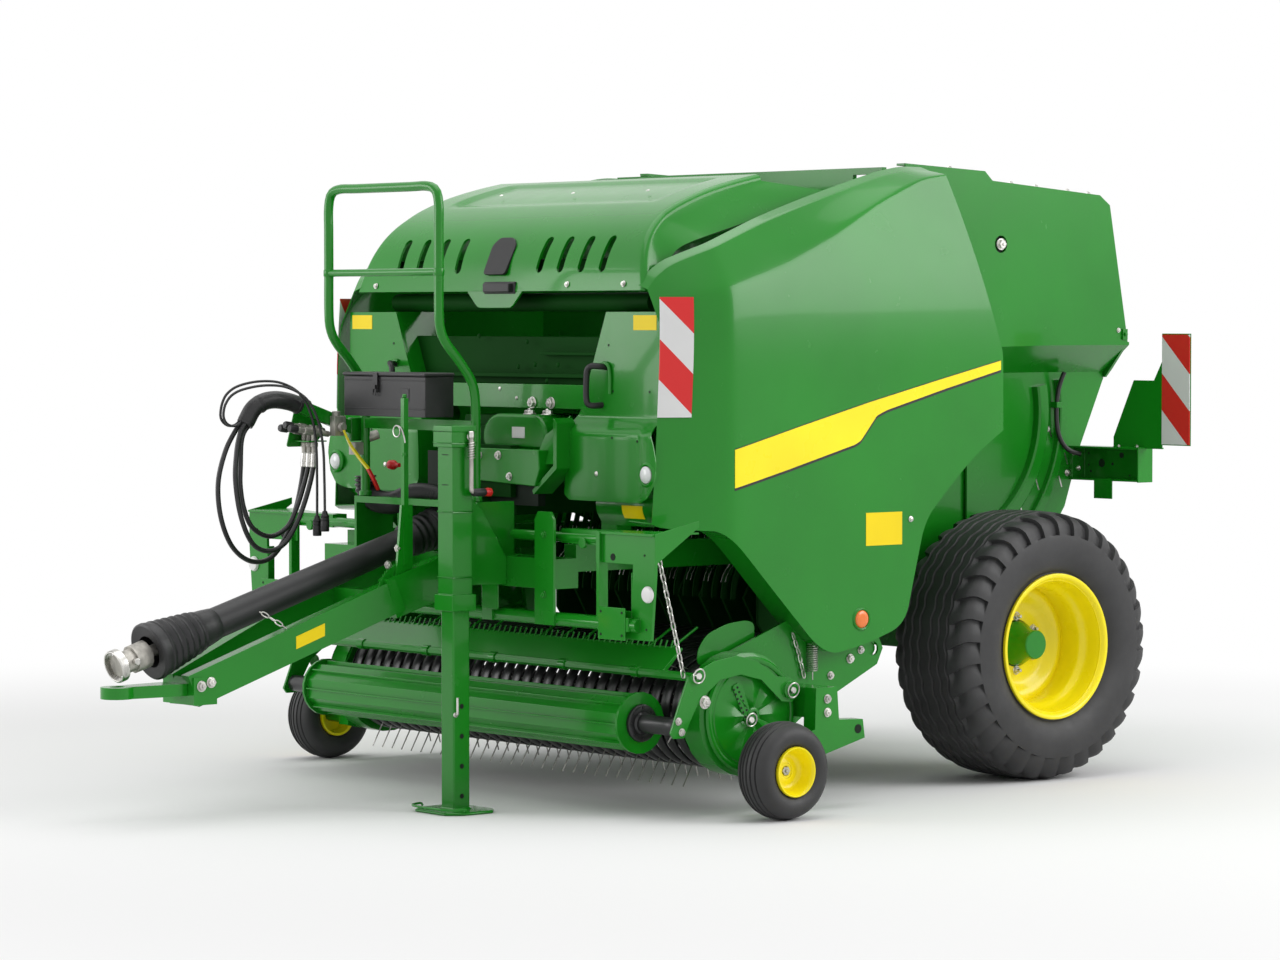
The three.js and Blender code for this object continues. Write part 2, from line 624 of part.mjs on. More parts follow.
function buildGuard() {
  const outline = [[-2035, 320], [-2020, 300], [-1970, 300], [-1950, 345], [-1900, 430], [-1800, 500],
    [-1700, 515], [-1600, 490], [-1500, 405], [-1450, 400], [-1418, 430], [-1420, 470], [-1460, 490],
    [-1530, 500], [-1620, 560], [-1720, 585], [-1830, 570], [-1950, 520], [-1990, 430]];
  const arm = carve(plateX(outline, 1197, 1207), drum(1150, 1250, 22, 10, GUARD_PIVOT.y, GUARD_PIVOT.z));
  const cap = drum(1204, 1214, 34, 12, GUARD_PIVOT.y, GUARD_PIVOT.z);
  const stub = drum(ROLLER.half + 5, 1200, 24, 10, ROLLER.y, ROLLER.z);
  const side = weld(arm, cap, stub);
  addPart('crop_guard', weld(
    side, mirrored(side),
    drum(-1200, 1200, RAKE.radius, 8, RAKE.y, RAKE.z),
    plateX([[-1905, 522], [-1885, 516], [-1800, 600], [-1806, 606]], -1000, 1000),
  ), GREEN);
  const roller = weld(
    drum(-ROLLER.half + 10, ROLLER.half - 10, 100, 8, ROLLER.y, ROLLER.z),
    drum(ROLLER.half - 12, ROLLER.half, ROLLER.radius, 20, ROLLER.y, ROLLER.z),
    drum(-ROLLER.half, -ROLLER.half + 12, ROLLER.radius, 20, ROLLER.y, ROLLER.z),
  );
  addPart('crop_roller', roller, GREEN);
}

function buildGaugeWheels() {
  const { inner, outer, radius, rimRadius, sides, y } = GAUGE;
  const tyre = [[outer - 20, rimRadius + 4], [outer - 20, 110], [outer - 8, 140], [outer - 22, radius - 8],
    [outer - 40, radius], [inner + 28, radius], [inner + 8, radius - 14], [inner, 130], [inner + 12, rimRadius + 4]];
  addPair('gauge_tyre', turned(tyre, sides, y, GAUGE_Z), RUBBER);
  const rim = [[outer, 90], [outer, 78], [outer - 50, 66], [outer - 70, 60], [outer - 74, 17.5], [outer - 90, 17.5],
    [outer - 90, 66], [inner + 14, 74], [inner + 13, rimRadius], [outer - 19, rimRadius], [outer - 19, 90]];
  addPair('gauge_rim', turned(rim, 16, y, GAUGE_Z), YELLOW);
  const arm = weld(
    plateX([[-1705, 150], [-1640, 135], [-1150, 255], [-1160, 325], [-1280, 330], [-1290, 452], [-1395, 452],
      [-1400, 300], [-1660, 222], [-1705, 205]], 1214 + GAP, 1278),
    drum(1270, 1405, 16.5, 10, y, GAUGE_Z),
    drum(1270, 1388 - 0.4, 28, 10, y, GAUGE_Z),
  );
  addPair('gauge_arm', carve(arm, drum(1200, 1215, 45, 12, GUARD_PIVOT.y, GUARD_PIVOT.z)), GREEN);
}

function buildIntake() {
  const { y, z, radius, half } = ROTOR;
  const discs = [];
  for (let x = -520; x <= 520; x += 130) {
    discs.push(drum(x - 6, x + 6, radius, 6, y, z));
  }
  addPart('feed_rotor', weld(drum(-half, half, 70, 10, y, z), ...discs), GREEN);
  const centre = { y, z };
  const outside = arc(centre, radius + 34, 212, 300, 6);
  const inside = arc(centre, radius + 22, 300, 212, 6);
  const cheek = carve(
    plateX([[-1095, 640], [-1095, 920], [-640, 920], [-640, 560], [-760, 480], [-1000, 500]], 606, 618),
    drum(560, 640, 30, 10, y, z),
  );
  addPart('intake_trough', weld(
    plateX([...outside, ...inside], -612, 612), cheek, mirrored(cheek),
  ), GREEN);
}

// ---------- hoses ----------
// Free hoses and cables: each runs from the mouth of the boom's sleeve.
const CORDS = {
  hose_1: {
    radius: 9.5,
    route: [[-434, -2757, 1424], [-437, -2782, 1394], [-442, -2830, 1310], [-444, -2862, 1190],
      [-444, -2850, 1060], [-443, -2800, 950], [-441, -2720, 893], [-440, -2630, 900],
      [-438, -2560, 975], [-437, -2510, 1090], [-437, -2480, 1210], [-437, -2470, 1295]],
  },
  hose_2: {
    radius: 9.5,
    route: [[-402, -2757, 1424], [-404, -2777, 1400], [-404, -2790, 1374], [-402, -2806, 1310],
      [-398, -2815, 1200], [-395, -2793, 1065], [-392, -2743, 962], [-388, -2672, 931],
      [-384, -2601, 958], [-379, -2550, 1030], [-376, -2510, 1120], [-373, -2480, 1220],
      [-373, -2470, 1295]],
  },
  hose_3: {
    radius: 9.5,
    route: [[-418, -2738, 1409], [-420, -2762, 1378], [-421, -2773, 1336], [-421, -2776, 1260],
      [-420, -2778, 1180], [-418, -2763, 1092], [-414, -2726, 1019], [-410, -2650, 985],
      [-406, -2574, 1018], [-405, -2530, 1090], [-405, -2495, 1180], [-405, -2475, 1250],
      [-405, -2470, 1295]],
  },
  cable_1: {
    radius: 5,
    route: [[-426, -2769, 1434], [-427, -2778, 1422], [-429, -2794, 1409], [-431, -2813, 1405],
      [-432, -2832, 1409], [-433, -2848, 1421], [-433, -2857, 1438], [-432, -2858, 1460],
      [-428, -2852, 1494], [-421, -2834, 1528], [-410, -2790, 1556], [-390, -2710, 1572],
      [-368, -2625, 1565], [-348, -2552, 1522], [-338, -2508, 1440], [-336, -2488, 1330],
      [-339, -2482, 1200], [-342, -2480, 1062]],
  },
  cable_2: {
    radius: 5,
    route: [[-410, -2769, 1434], [-411, -2778, 1422], [-413, -2794, 1409], [-414, -2813, 1405],
      [-415, -2832, 1409], [-416, -2847, 1421], [-416, -2855, 1438], [-415, -2856, 1459],
      [-411, -2849, 1489], [-402, -2827, 1521], [-390, -2782, 1543], [-366, -2700, 1557],
      [-345, -2613, 1548], [-322, -2540, 1503], [-308, -2498, 1420], [-302, -2480, 1320],
      [-300, -2476, 1200], [-300, -2474, 1080]],
  },
};

function buildHoses() {
  const boom = weld(
    beam([-385, -2290, 1390], [-400, -2560, 1490], 32, 50),
    tube([[-400, -2530, 1482], [-405, -2620, 1500], [-412, -2700, 1480], [-418, -2750, 1420]], 34, 10, 12),
    box(-392, -368, -2300, -2240, 1340, 1430),
    beam([-380, -2300, 1390], [-395, -2330, 1405], 20, 40),
  );
  addPart('hose_boom', boom, BLACK);
  const couplers = [-437, -405, -373].map((x) => rod([x, -2470, 1298], [x, -2470, 1400], 15, 8));
  addPart('coupler_rack', weld(
    plateX([[-2540, 1320], [-2420, 1320], [-2360, 1372], [-2430, 1500], [-2500, 1470]], -461, -455),
    box(-457, -354, -2510, -2425, 1340, 1352),
    ...couplers,
  ), GREEN);
  for (const [name, { route, radius }] of Object.entries(CORDS)) {
    addPart(name, tube(route, radius, 8, 22), RUBBER);
  }
  for (const [name, cable] of [['plug_1', 'cable_1'], ['plug_2', 'cable_2']]) {
    const [x, y, z] = CORDS[cable].route.at(-1);
    addPart(name, rod([x, y, z - GAP], [x, y + 1, z - 78], 17, 10), BLACK);
  }
}

buildWheels();
buildAxle();
buildChamber();
buildFrame();
buildDrawbar();
buildDriveline();
buildCowls();
buildHoop();
buildToolbox();
buildStand();
buildFrontBars();
buildDoors();
buildHood();
buildTailgate();
buildRearCover();
buildLightBars();
buildLiftCylinders();
buildPickup();
buildGuard();
buildGaugeWheels();
buildIntake();
buildHoses();

export default machine;
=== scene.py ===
import json
import logging
import math
from collections.abc import Iterable, Sequence
from dataclasses import dataclass
from enum import Enum

import bmesh
import bpy
import numpy as np
from mathutils import Matrix, Vector

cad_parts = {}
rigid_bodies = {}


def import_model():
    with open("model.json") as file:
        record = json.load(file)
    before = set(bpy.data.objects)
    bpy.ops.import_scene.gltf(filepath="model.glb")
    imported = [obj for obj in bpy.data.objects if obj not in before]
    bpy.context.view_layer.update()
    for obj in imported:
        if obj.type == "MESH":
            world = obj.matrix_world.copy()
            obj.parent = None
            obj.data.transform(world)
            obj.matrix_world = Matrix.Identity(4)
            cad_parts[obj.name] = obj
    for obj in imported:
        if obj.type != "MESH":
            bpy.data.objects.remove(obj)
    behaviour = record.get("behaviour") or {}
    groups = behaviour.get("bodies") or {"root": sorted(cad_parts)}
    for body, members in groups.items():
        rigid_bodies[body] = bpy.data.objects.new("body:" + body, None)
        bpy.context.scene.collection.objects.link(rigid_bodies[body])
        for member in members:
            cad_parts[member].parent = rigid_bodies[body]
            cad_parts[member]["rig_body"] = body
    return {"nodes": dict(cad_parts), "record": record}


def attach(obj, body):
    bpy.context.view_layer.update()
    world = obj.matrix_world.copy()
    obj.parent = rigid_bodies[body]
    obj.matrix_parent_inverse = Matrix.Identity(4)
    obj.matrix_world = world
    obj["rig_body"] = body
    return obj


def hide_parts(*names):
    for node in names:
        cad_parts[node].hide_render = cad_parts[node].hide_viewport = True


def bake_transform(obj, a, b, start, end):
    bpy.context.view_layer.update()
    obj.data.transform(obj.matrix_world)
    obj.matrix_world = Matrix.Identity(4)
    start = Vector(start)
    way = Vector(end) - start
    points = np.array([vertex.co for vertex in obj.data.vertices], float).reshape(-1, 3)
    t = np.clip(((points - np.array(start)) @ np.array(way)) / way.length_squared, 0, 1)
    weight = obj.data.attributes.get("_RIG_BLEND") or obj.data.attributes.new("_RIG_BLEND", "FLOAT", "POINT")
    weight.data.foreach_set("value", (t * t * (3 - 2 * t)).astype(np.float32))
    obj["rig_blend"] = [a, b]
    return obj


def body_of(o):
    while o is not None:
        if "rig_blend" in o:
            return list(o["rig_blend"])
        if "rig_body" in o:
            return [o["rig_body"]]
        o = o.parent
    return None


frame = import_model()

# Looks of a towed round baler. Lengths are in metres. Places are measured from the axle line on the
# ground, with the direction of travel along -Y and the machine's left side at +X; AXLE_Y moves them
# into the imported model's frame when a piece is made. Edges are hard from HARD_EDGE degrees on. AXIS is
# the radius of a profile where it meets its own axis; the ring of points there is merged into one.
log = logging.getLogger("round_baler")
AXLE_Y = 1.445
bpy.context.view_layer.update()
SIDES = (("left", 1.0), ("right", -1.0))
HARD_EDGE = 38.0
AXIS = 1e-6
Points = np.ndarray
Place = Sequence[float]

# ---------- forms ----------
@dataclass(frozen=True)
class Form:
    """A mesh in the making: its points, its faces and, where a pattern needs one, a UV for each point."""

    points: Points
    faces: list[tuple[int, ...]]
    uv: Points | None = None

    def moved(self, x: float = 0.0, y: float = 0.0, z: float = 0.0) -> "Form":
        """This form shifted by x, y and z."""
        return Form(self.points + np.array([x, y, z]), self.faces, self.uv)

    def mirrored(self) -> "Form":
        """This form on the other side of the machine, with its faces turned back out."""
        return Form(self.points * [-1.0, 1.0, 1.0], [face[::-1] for face in self.faces], self.uv)

    def posed(self, matrix: Matrix) -> "Form":
        """This form turned and shifted by a 4x4 matrix."""
        grid = np.array(matrix, float)
        return Form(self.points @ grid[:3, :3].T + grid[:3, 3], self.faces, self.uv)

def joined(forms: Iterable[Form]) -> Form:
    """Several forms as one, their points and faces one after another."""
    points, faces, uvs, base = [], [], [], 0
    for form in forms:
        points.append(form.points)
        faces += [tuple(i + base for i in face) for face in form.faces]
        uvs.append(np.zeros((len(form.points), 2)) if form.uv is None else form.uv)
        base += len(form.points)
    return Form(np.concatenate(points), faces, np.concatenate(uvs))

def both(forms: Iterable[Form]) -> list[Form]:
    """The forms and their mirror images."""
    listed = list(forms)
    return listed + [form.mirrored() for form in listed]

def handed(form: Form, sign: float) -> Form:
    """The form itself for the left side, whose sign is positive, or its mirror image for the right."""
    return form if sign > 0 else form.mirrored()

def lattice(points: Points, wrap_rows: bool = False, wrap_columns: bool = False,
            uv: Points | None = None) -> Form:
    """A surface on a grid: each face joins point (i, j) to its next neighbours.

    Args:
        points: The grid, rows by columns by 3.
        wrap_rows: Whether the last row meets the first.
        wrap_columns: Whether the last column meets the first.
        uv: A UV for each grid point.

    Returns:
        The surface.
    """
    rows, columns = points.shape[:2]
    index = np.arange(rows * columns).reshape(rows, columns)
    if wrap_rows:
        index = np.vstack([index, index[:1]])
    if wrap_columns:
        index = np.hstack([index, index[:, :1]])
    quads = np.stack([index[:-1, :-1], index[:-1, 1:], index[1:, 1:], index[1:, :-1]], axis=-1)
    faces = [tuple(quad) for quad in quads.reshape(-1, 4).tolist()]
    return Form(points.reshape(-1, 3), faces, None if uv is None else uv.reshape(-1, 2))

def revolved(profile: Sequence[Place], centre: Place, axis: str = "x", sides: int = 48,
             closed: bool = True) -> Form:
    """A profile turned about a line: a point (a, r) goes to a along the axis and r cos t, r sin t across it.

    Args:
        profile: Points (along the axis, radius); an open one starts and ends on the axis.
        centre: Where the profile's zero lies.
        axis: The letter of the axis.
        sides: Steps of t.
        closed: Whether the profile is a loop.

    Returns:
        The solid's skin.
    """
    along, radius = np.array(profile, float).T
    turn = np.linspace(0, 2 * np.pi, sides, endpoint=False) + np.pi / sides
    columns = [along[:, None] + 0 * turn, radius[:, None] * np.cos(turn), radius[:, None] * np.sin(turn)]
    shift = {"x": 0, "y": 1, "z": 2}[axis]
    grid = np.stack(columns[-shift:] + columns[:-shift] if shift else columns, axis=-1)
    return lattice(grid + np.array(centre, float), closed, True)

def disc(start: Place, end: Place, radius: float, sides: int = 24, rounding: float = 0.0) -> Form:
    """A round bar between two points, its end edges rounded by a chamfer of that size."""
    length = float(np.linalg.norm(np.subtract(end, start)))
    edge = max(rounding, 1e-5)
    steps = [0.0, 0.0, edge, length - edge, length, length]
    sizes = [AXIS, radius - edge, radius, radius, radius - edge, AXIS]
    turn = np.linspace(0, 2 * np.pi, sides, endpoint=False)
    ring = np.stack([np.cos(turn), np.sin(turn)], axis=-1)
    grid = np.array([[(*(point * size), step) for point in ring] for step, size in zip(steps, sizes)])
    return lattice(grid, False, True).posed(facing(start, np.subtract(end, start)))

def facing(place: Place, direction: Place) -> Matrix:
    """The matrix that puts the origin at a place and turns +Z to a direction."""
    turn = Vector(direction).to_track_quat("Z", "Y").to_matrix().to_4x4()
    return Matrix.Translation(Vector(place)) @ turn

def flowing(route: Sequence[Place], count: int) -> Points:
    """A smooth line through points: Catmull-Rom pieces, evenly stepped along its length.

    Args:
        route: The points to pass through.
        count: Points on the result.

    Returns:
        The line's points.
    """
    knots = np.array(route, float)
    knots = np.vstack([2 * knots[0] - knots[1], knots, 2 * knots[-1] - knots[-2]])
    fine = np.linspace(0, len(route) - 1 - 1e-9, 24 * len(route))
    i = fine.astype(int)
    t = (fine - i)[:, None]
    a, b, c, d = (knots[i + k] for k in range(4))
    line = 0.5 * (2 * b + (c - a) * t + (2 * a - 5 * b + 4 * c - d) * t**2 + (3 * b - a - 3 * c + d) * t**3)
    gone = np.concatenate([[0], np.cumsum(np.linalg.norm(np.diff(line, axis=0), axis=1))])
    where = np.linspace(0, gone[-1], count)
    return np.stack([np.interp(where, gone, line[:, k]) for k in range(3)], axis=-1)

def swept(path: Points, section: Points, sizes: Points | None = None, upward: Place = (0, 0, 1)) -> Form:
    """A closed section carried along a line, square to it, with its second axis as near upward as it goes.

    Args:
        path: The line's points.
        section: The section's points, across and up.
        sizes: A factor on the section at each point of the line.
        upward: The direction that the section's second axis leans to.

    Returns:
        The bar, with a face over each end.
    """
    path = np.asarray(path, float)
    along = np.gradient(path, axis=0)
    along /= np.linalg.norm(along, axis=1)[:, None]
    across = np.cross(along, np.array(upward, float))
    across /= np.maximum(np.linalg.norm(across, axis=1), 1e-9)[:, None]
    up = np.cross(across, along)
    scale = np.ones(len(path)) if sizes is None else np.asarray(sizes, float)
    spread = section[None, :, :1] * across[:, None] + section[None, :, 1:] * up[:, None]
    body = lattice(path[:, None] + spread * scale[:, None, None], False, True)
    count, last = len(section), len(path) * len(section)
    return Form(body.points, body.faces + [tuple(range(count))[::-1], tuple(range(last - count, last))])

def circle(radius: float, sides: int = 12) -> Points:
    """A round section."""
    turn = np.linspace(0, 2 * np.pi, sides, endpoint=False)
    return radius * np.stack([np.cos(turn), np.sin(turn)], axis=-1)

def rectangle(width: float, height: float) -> Points:
    """A four-sided section."""
    return np.array([[-width, -height], [width, -height], [width, height], [-width, height]]) / 2

def pipe(route: Sequence[Place], radius: float, sides: int = 14, count: int = 0) -> Form:
    """A round bar along a smooth line; with no count it keeps the route's own straight pieces.

    The section turns as little as it can: each ring is square to the line and follows the last one.
    """
    path = flowing(route, count) if count else np.array(route, float)
    along = np.gradient(path, axis=0)
    along /= np.linalg.norm(along, axis=1)[:, None]
    normal = np.cross(along[0], [0.31, 0.17, 0.93])
    rings = []
    for point, direction in zip(path, along):
        normal = normal - direction * (normal @ direction)
        normal = normal / np.linalg.norm(normal)
        side = np.cross(direction, normal)
        flat = circle(radius, sides)
        rings.append(point + flat[:, :1] * normal + flat[:, 1:] * side)
    body = lattice(np.array(rings), False, True)
    last = len(path) * sides
    return Form(body.points, body.faces + [tuple(range(sides))[::-1], tuple(range(last - sides, last))])

def prism(outline: Sequence[Place], axis: str, low: float, high: float) -> Form:
    """A plate: a flat outline carried from low to high along an axis.

    Args:
        outline: Points in the other two coordinates, in the order x, y, z.
        axis: The letter of the axis.
        low: Where the plate starts.
        high: Where it ends.

    Returns:
        The plate.
    """
    flat = np.array(outline, float)
    place = {"x": 0, "y": 1, "z": 2}[axis]
    layers = [np.insert(flat, place, level, axis=1) for level in (low, high)]
    count = len(flat)
    ring = [(i, (i + 1) % count, (i + 1) % count + count, i + count) for i in range(count)]
    caps = [tuple(range(count))[::-1], tuple(range(count, 2 * count))]
    return Form(np.concatenate(layers), ring + caps)

def block(x0: float, x1: float, y0: float, y1: float, z0: float, z1: float) -> Form:
    """A box between six planes."""
    return prism([(x0, y0), (x1, y0), (x1, y1), (x0, y1)], "z", z0, z1)

def pill(length: float, width: float, steps: int = 10) -> Points:
    """The outline of a slot with round ends, its length along the second axis."""
    half = np.linspace(0, np.pi, steps)
    top = np.stack([np.cos(half), np.sin(half)], axis=-1) * width / 2 + [0, (length - width) / 2]
    return np.concatenate([top, -top])

def bent(outline: Sequence[Place], radius: float, steps: int = 5) -> list[tuple[float, float]]:
    """An outline with its corners rounded: each corner becomes a curve that starts and ends radius away."""
    corners = np.array(outline, float)
    ahead = np.roll(corners, -1, axis=0) - corners
    lengths = np.linalg.norm(ahead, axis=1)
    rounded = []
    for i, corner in enumerate(corners):
        reach = min(radius, 0.45 * lengths[i], 0.45 * lengths[i - 1])
        before = corner - ahead[i - 1] / lengths[i - 1] * reach
        after = corner + ahead[i] / lengths[i] * reach
        for t in np.linspace(0, 1, steps):
            rounded.append(tuple((1 - t) ** 2 * before + 2 * t * (1 - t) * corner + t**2 * after))
    return rounded

def slab(sheet: Points, depth: Place, uv: Points | None = None) -> Form:
    """A thin plate that follows a curved sheet: the sheet's grid, a copy shifted by depth, and its edges."""
    back = sheet + np.asarray(depth, float)
    loop = np.concatenate([sheet, back[:, ::-1]], axis=1)
    pattern = None if uv is None else np.concatenate([uv, uv[:, ::-1]], axis=1)
    body = lattice(loop, False, True, pattern)
    count, last = loop.shape[1], loop.shape[0] * loop.shape[1]
    half = sheet.shape[1]
    ends = []
    for base in (0, last - count):
        for j in range(half - 1):
            ends.append((base + j, base + j + 1, base + count - 2 - j, base + count - 1 - j))
    return Form(body.points, body.faces + ends, body.uv)

def spring(start: Place, end: Place, radius: float, wire: float, turns: float) -> Form:
    """A coil spring: a helix of that radius from start to end, of round wire."""
    steps = int(turns * 12)
    t = np.linspace(0, 1, steps)
    angle = 2 * np.pi * turns * t
    length = float(np.linalg.norm(np.subtract(end, start)))
    helix = np.stack([radius * np.cos(angle), radius * np.sin(angle), length * t], axis=-1)
    return pipe(helix, wire, 6).posed(facing(start, np.subtract(end, start)))

def chain(route: Sequence[Place], pitch: float, wire: float) -> Form:
    """A link chain along a line: every link is an oval ring, turned a quarter from the last one."""
    length = float(np.sum(np.linalg.norm(np.diff(np.array(route, float), axis=0), axis=1)))
    places = flowing(route, max(3, int(length / pitch) + 1))
    t = np.linspace(0, 2 * np.pi, 15)
    width, reach = 2.5 * wire, pitch / 2 + wire
    oval = np.stack([width * np.cos(t), 0 * t, reach * np.sign(np.sin(t)) * np.abs(np.sin(t)) ** 0.7],
                    axis=-1)
    link = pipe(oval, wire, 6)
    links = []
    for i, (here, after) in enumerate(zip(places[:-1], places[1:])):
        turn = facing((here + after) / 2, after - here) @ Matrix.Rotation((i % 2) * math.pi / 2, 4, "Z")
        links.append(link.posed(turn))
    return joined(links)

def bolt(place: Place, direction: Place, size: float = 0.010) -> Form:
    """A hexagon head on a washer, facing a direction; size is half the head's width."""
    washer = disc((0, 0, 0), (0, 0, 0.25 * size), 1.45 * size, 16, 0.08 * size)
    levels, sizes = [0.2, 0.85, 1.0, 1.0], [1.15, 1.15, 0.95, 1e-5]
    turn = np.linspace(0, 2 * np.pi, 6, endpoint=False)
    ring = np.stack([np.cos(turn), np.sin(turn)], axis=-1) * size
    grid = np.array([[(*(p * s), level * size) for p in ring] for level, s in zip(levels, sizes)])
    end = disc((0, 0, 0.9 * size), (0, 0, 1.35 * size), 0.45 * size, 10, 0.1 * size)
    return joined([washer, lattice(grid, False, True), end]).posed(facing(place, direction))

def bolts_facing(direction: Place, rows: Iterable[Place]) -> list[Form]:
    """Bolts that all face one way; a row is a bolt's place and its size."""
    return [bolt((x, y, z), direction, size) for x, y, z, size in rows]

def button(place: Place, direction: Place, radius: float = 0.009) -> Form:
    """A low round screw or rivet head."""
    t = np.linspace(0, np.pi / 2, 5)
    profile = [(0.0, radius)] + [(0.5 * radius * math.sin(a), radius * math.cos(a) + AXIS) for a in t]
    return revolved(profile, (0, 0, 0), "x", 14, False).posed(
        facing(place, direction) @ Matrix.Rotation(-math.pi / 2, 4, "Y")
    )

# ---------- finishes ----------
class Skin(Enum):
    """The node groups that give a finish its texture."""

    PAINT = "sprayed_skin"
    RUBBER = "moulded_rubber"
    PLATED = "plated_steel"
    GRAINED = "grained_plastic"

def add_node(tree: bpy.types.NodeTree, kind: str, **values: object) -> bpy.types.Node:
    """A new node of a kind, with plain attributes and, by index i0, i1..., its inputs' values set."""
    node = tree.nodes.new(kind)
    for name, value in values.items():
        if name[0] == "i" and name[1:].isdigit():
            node.inputs[int(name[1:])].default_value = value
        else:
            setattr(node, name, value)
    return node

def noise(tree: bpy.types.NodeTree, scale: float, detail: float = 3.0,
          stretch: Place = (1, 1, 1)) -> bpy.types.Node:
    """A noise texture on Object coordinates, stretched along the axes."""
    place = add_node(tree, "ShaderNodeTexCoord")
    spread = add_node(tree, "ShaderNodeMapping")
    spread.inputs["Scale"].default_value = stretch
    tree.links.new(place.outputs["Object"], spread.inputs["Vector"])
    texture = add_node(tree, "ShaderNodeTexNoise")
    texture.inputs["Scale"].default_value = scale
    texture.inputs["Detail"].default_value = detail
    tree.links.new(spread.outputs[0], texture.inputs["Vector"])
    return texture

@dataclass(frozen=True)
class SkinRecipe:
    """How a skin's group varies: its patches, its fine bump and how far each goes."""

    patch_scale: float
    bump_scale: float
    bump_height: float
    shade: float
    stretch: tuple[float, float, float] = (1.0, 1.0, 1.0)

RECIPES = {
    Skin.PAINT: SkinRecipe(1.7, 260.0, 0.00006, 0.10),
    Skin.RUBBER: SkinRecipe(6.0, 420.0, 0.0004, 0.30),
    Skin.PLATED: SkinRecipe(38.0, 300.0, 0.0002, 0.35, (1.0, 1.0, 0.4)),
    Skin.GRAINED: SkinRecipe(9.0, 700.0, 0.0003, 0.18),
}

def skin_group(skin: Skin) -> bpy.types.NodeTree:
    """The group of a skin: colour and roughness drift in soft patches, and a fine bump lies on top.

    Inputs are Colour, Roughness and Drift; outputs are Colour, Roughness and Normal.
    """
    found = bpy.data.node_groups.get(skin.value)
    if found:
        return found
    recipe = RECIPES[skin]
    tree = bpy.data.node_groups.new(skin.value, "ShaderNodeTree")
    for name, kind in (("Colour", "Color"), ("Roughness", "Float"), ("Drift", "Float")):
        tree.interface.new_socket(name, in_out="INPUT", socket_type="NodeSocket" + kind)
    for name, kind in (("Colour", "Color"), ("Roughness", "Float"), ("Normal", "Vector")):
        tree.interface.new_socket(name, in_out="OUTPUT", socket_type="NodeSocket" + kind)
    source = add_node(tree, "NodeGroupInput")
    result = add_node(tree, "NodeGroupOutput")
    patches = noise(tree, recipe.patch_scale, 4.0, recipe.stretch)
    shade = add_node(tree, "ShaderNodeMapRange", i1=0.3, i2=0.7, i3=1 - recipe.shade, i4=1 + recipe.shade)
    tree.links.new(patches.outputs["Fac"], shade.inputs[0])
    tinted = add_node(tree, "ShaderNodeVectorMath", operation="SCALE")
    tree.links.new(source.outputs["Colour"], tinted.inputs[0])
    tree.links.new(shade.outputs[0], tinted.inputs["Scale"])
    tree.links.new(tinted.outputs[0], result.inputs["Colour"])
    spots = noise(tree, recipe.patch_scale * 5.3, 5.0, recipe.stretch)
    centred = add_node(tree, "ShaderNodeMath", operation="SUBTRACT", i1=0.5)
    tree.links.new(spots.outputs["Fac"], centred.inputs[0])
    rough = add_node(tree, "ShaderNodeMath", operation="MULTIPLY_ADD")
    tree.links.new(centred.outputs[0], rough.inputs[0])
    tree.links.new(source.outputs["Drift"], rough.inputs[1])
    tree.links.new(source.outputs["Roughness"], rough.inputs[2])
    tree.links.new(rough.outputs[0], result.inputs["Roughness"])
    grain = noise(tree, recipe.bump_scale, 2.0)
    bump = add_node(tree, "ShaderNodeBump")
    bump.inputs["Distance"].default_value = recipe.bump_height
    tree.links.new(grain.outputs["Fac"], bump.inputs["Height"])
    tree.links.new(bump.outputs[0], result.inputs["Normal"])
    return tree

@dataclass(frozen=True)
class Finish:
    """One finish of the machine: its colour, its gloss and the skin that textures it."""

    name: str
    colour: tuple[float, float, float]
    roughness: float
    skin: Skin
    slot: str
    specular: float = 0.5
    metallic: float = 0.0
    coat: float = 0.0
    drift: float = 0.08

    def material(self) -> bpy.types.Material:
        """The finish as a Blender material, made once."""
        found = bpy.data.materials.get(self.name)
        if found:
            return found
        made = bpy.data.materials.new(self.name)
        made.use_nodes = True
        made.diffuse_color = (*self.colour, 1.0)
        tree = made.node_tree
        shader = tree.nodes["Principled BSDF"]
        shader.inputs["Metallic"].default_value = self.metallic
        shader.inputs["Specular IOR Level"].default_value = self.specular
        shader.inputs["Coat Weight"].default_value = self.coat
        shader.inputs["Coat Roughness"].default_value = 0.06
        group = add_node(tree, "ShaderNodeGroup", node_tree=skin_group(self.skin))
        group.inputs["Colour"].default_value = (*self.colour, 1.0)
        group.inputs["Roughness"].default_value = self.roughness
        group.inputs["Drift"].default_value = self.drift
        tree.links.new(group.outputs["Roughness"], shader.inputs["Roughness"])
        tree.links.new(group.outputs["Normal"], shader.inputs["Normal"])
        tree.links.new(self.tint(tree, group), shader.inputs["Base Color"])
        return made

    def tint(self, tree: bpy.types.NodeTree, group: bpy.types.Node) -> bpy.types.NodeSocket:
        """The socket that colours the shader."""
        return group.outputs["Colour"]

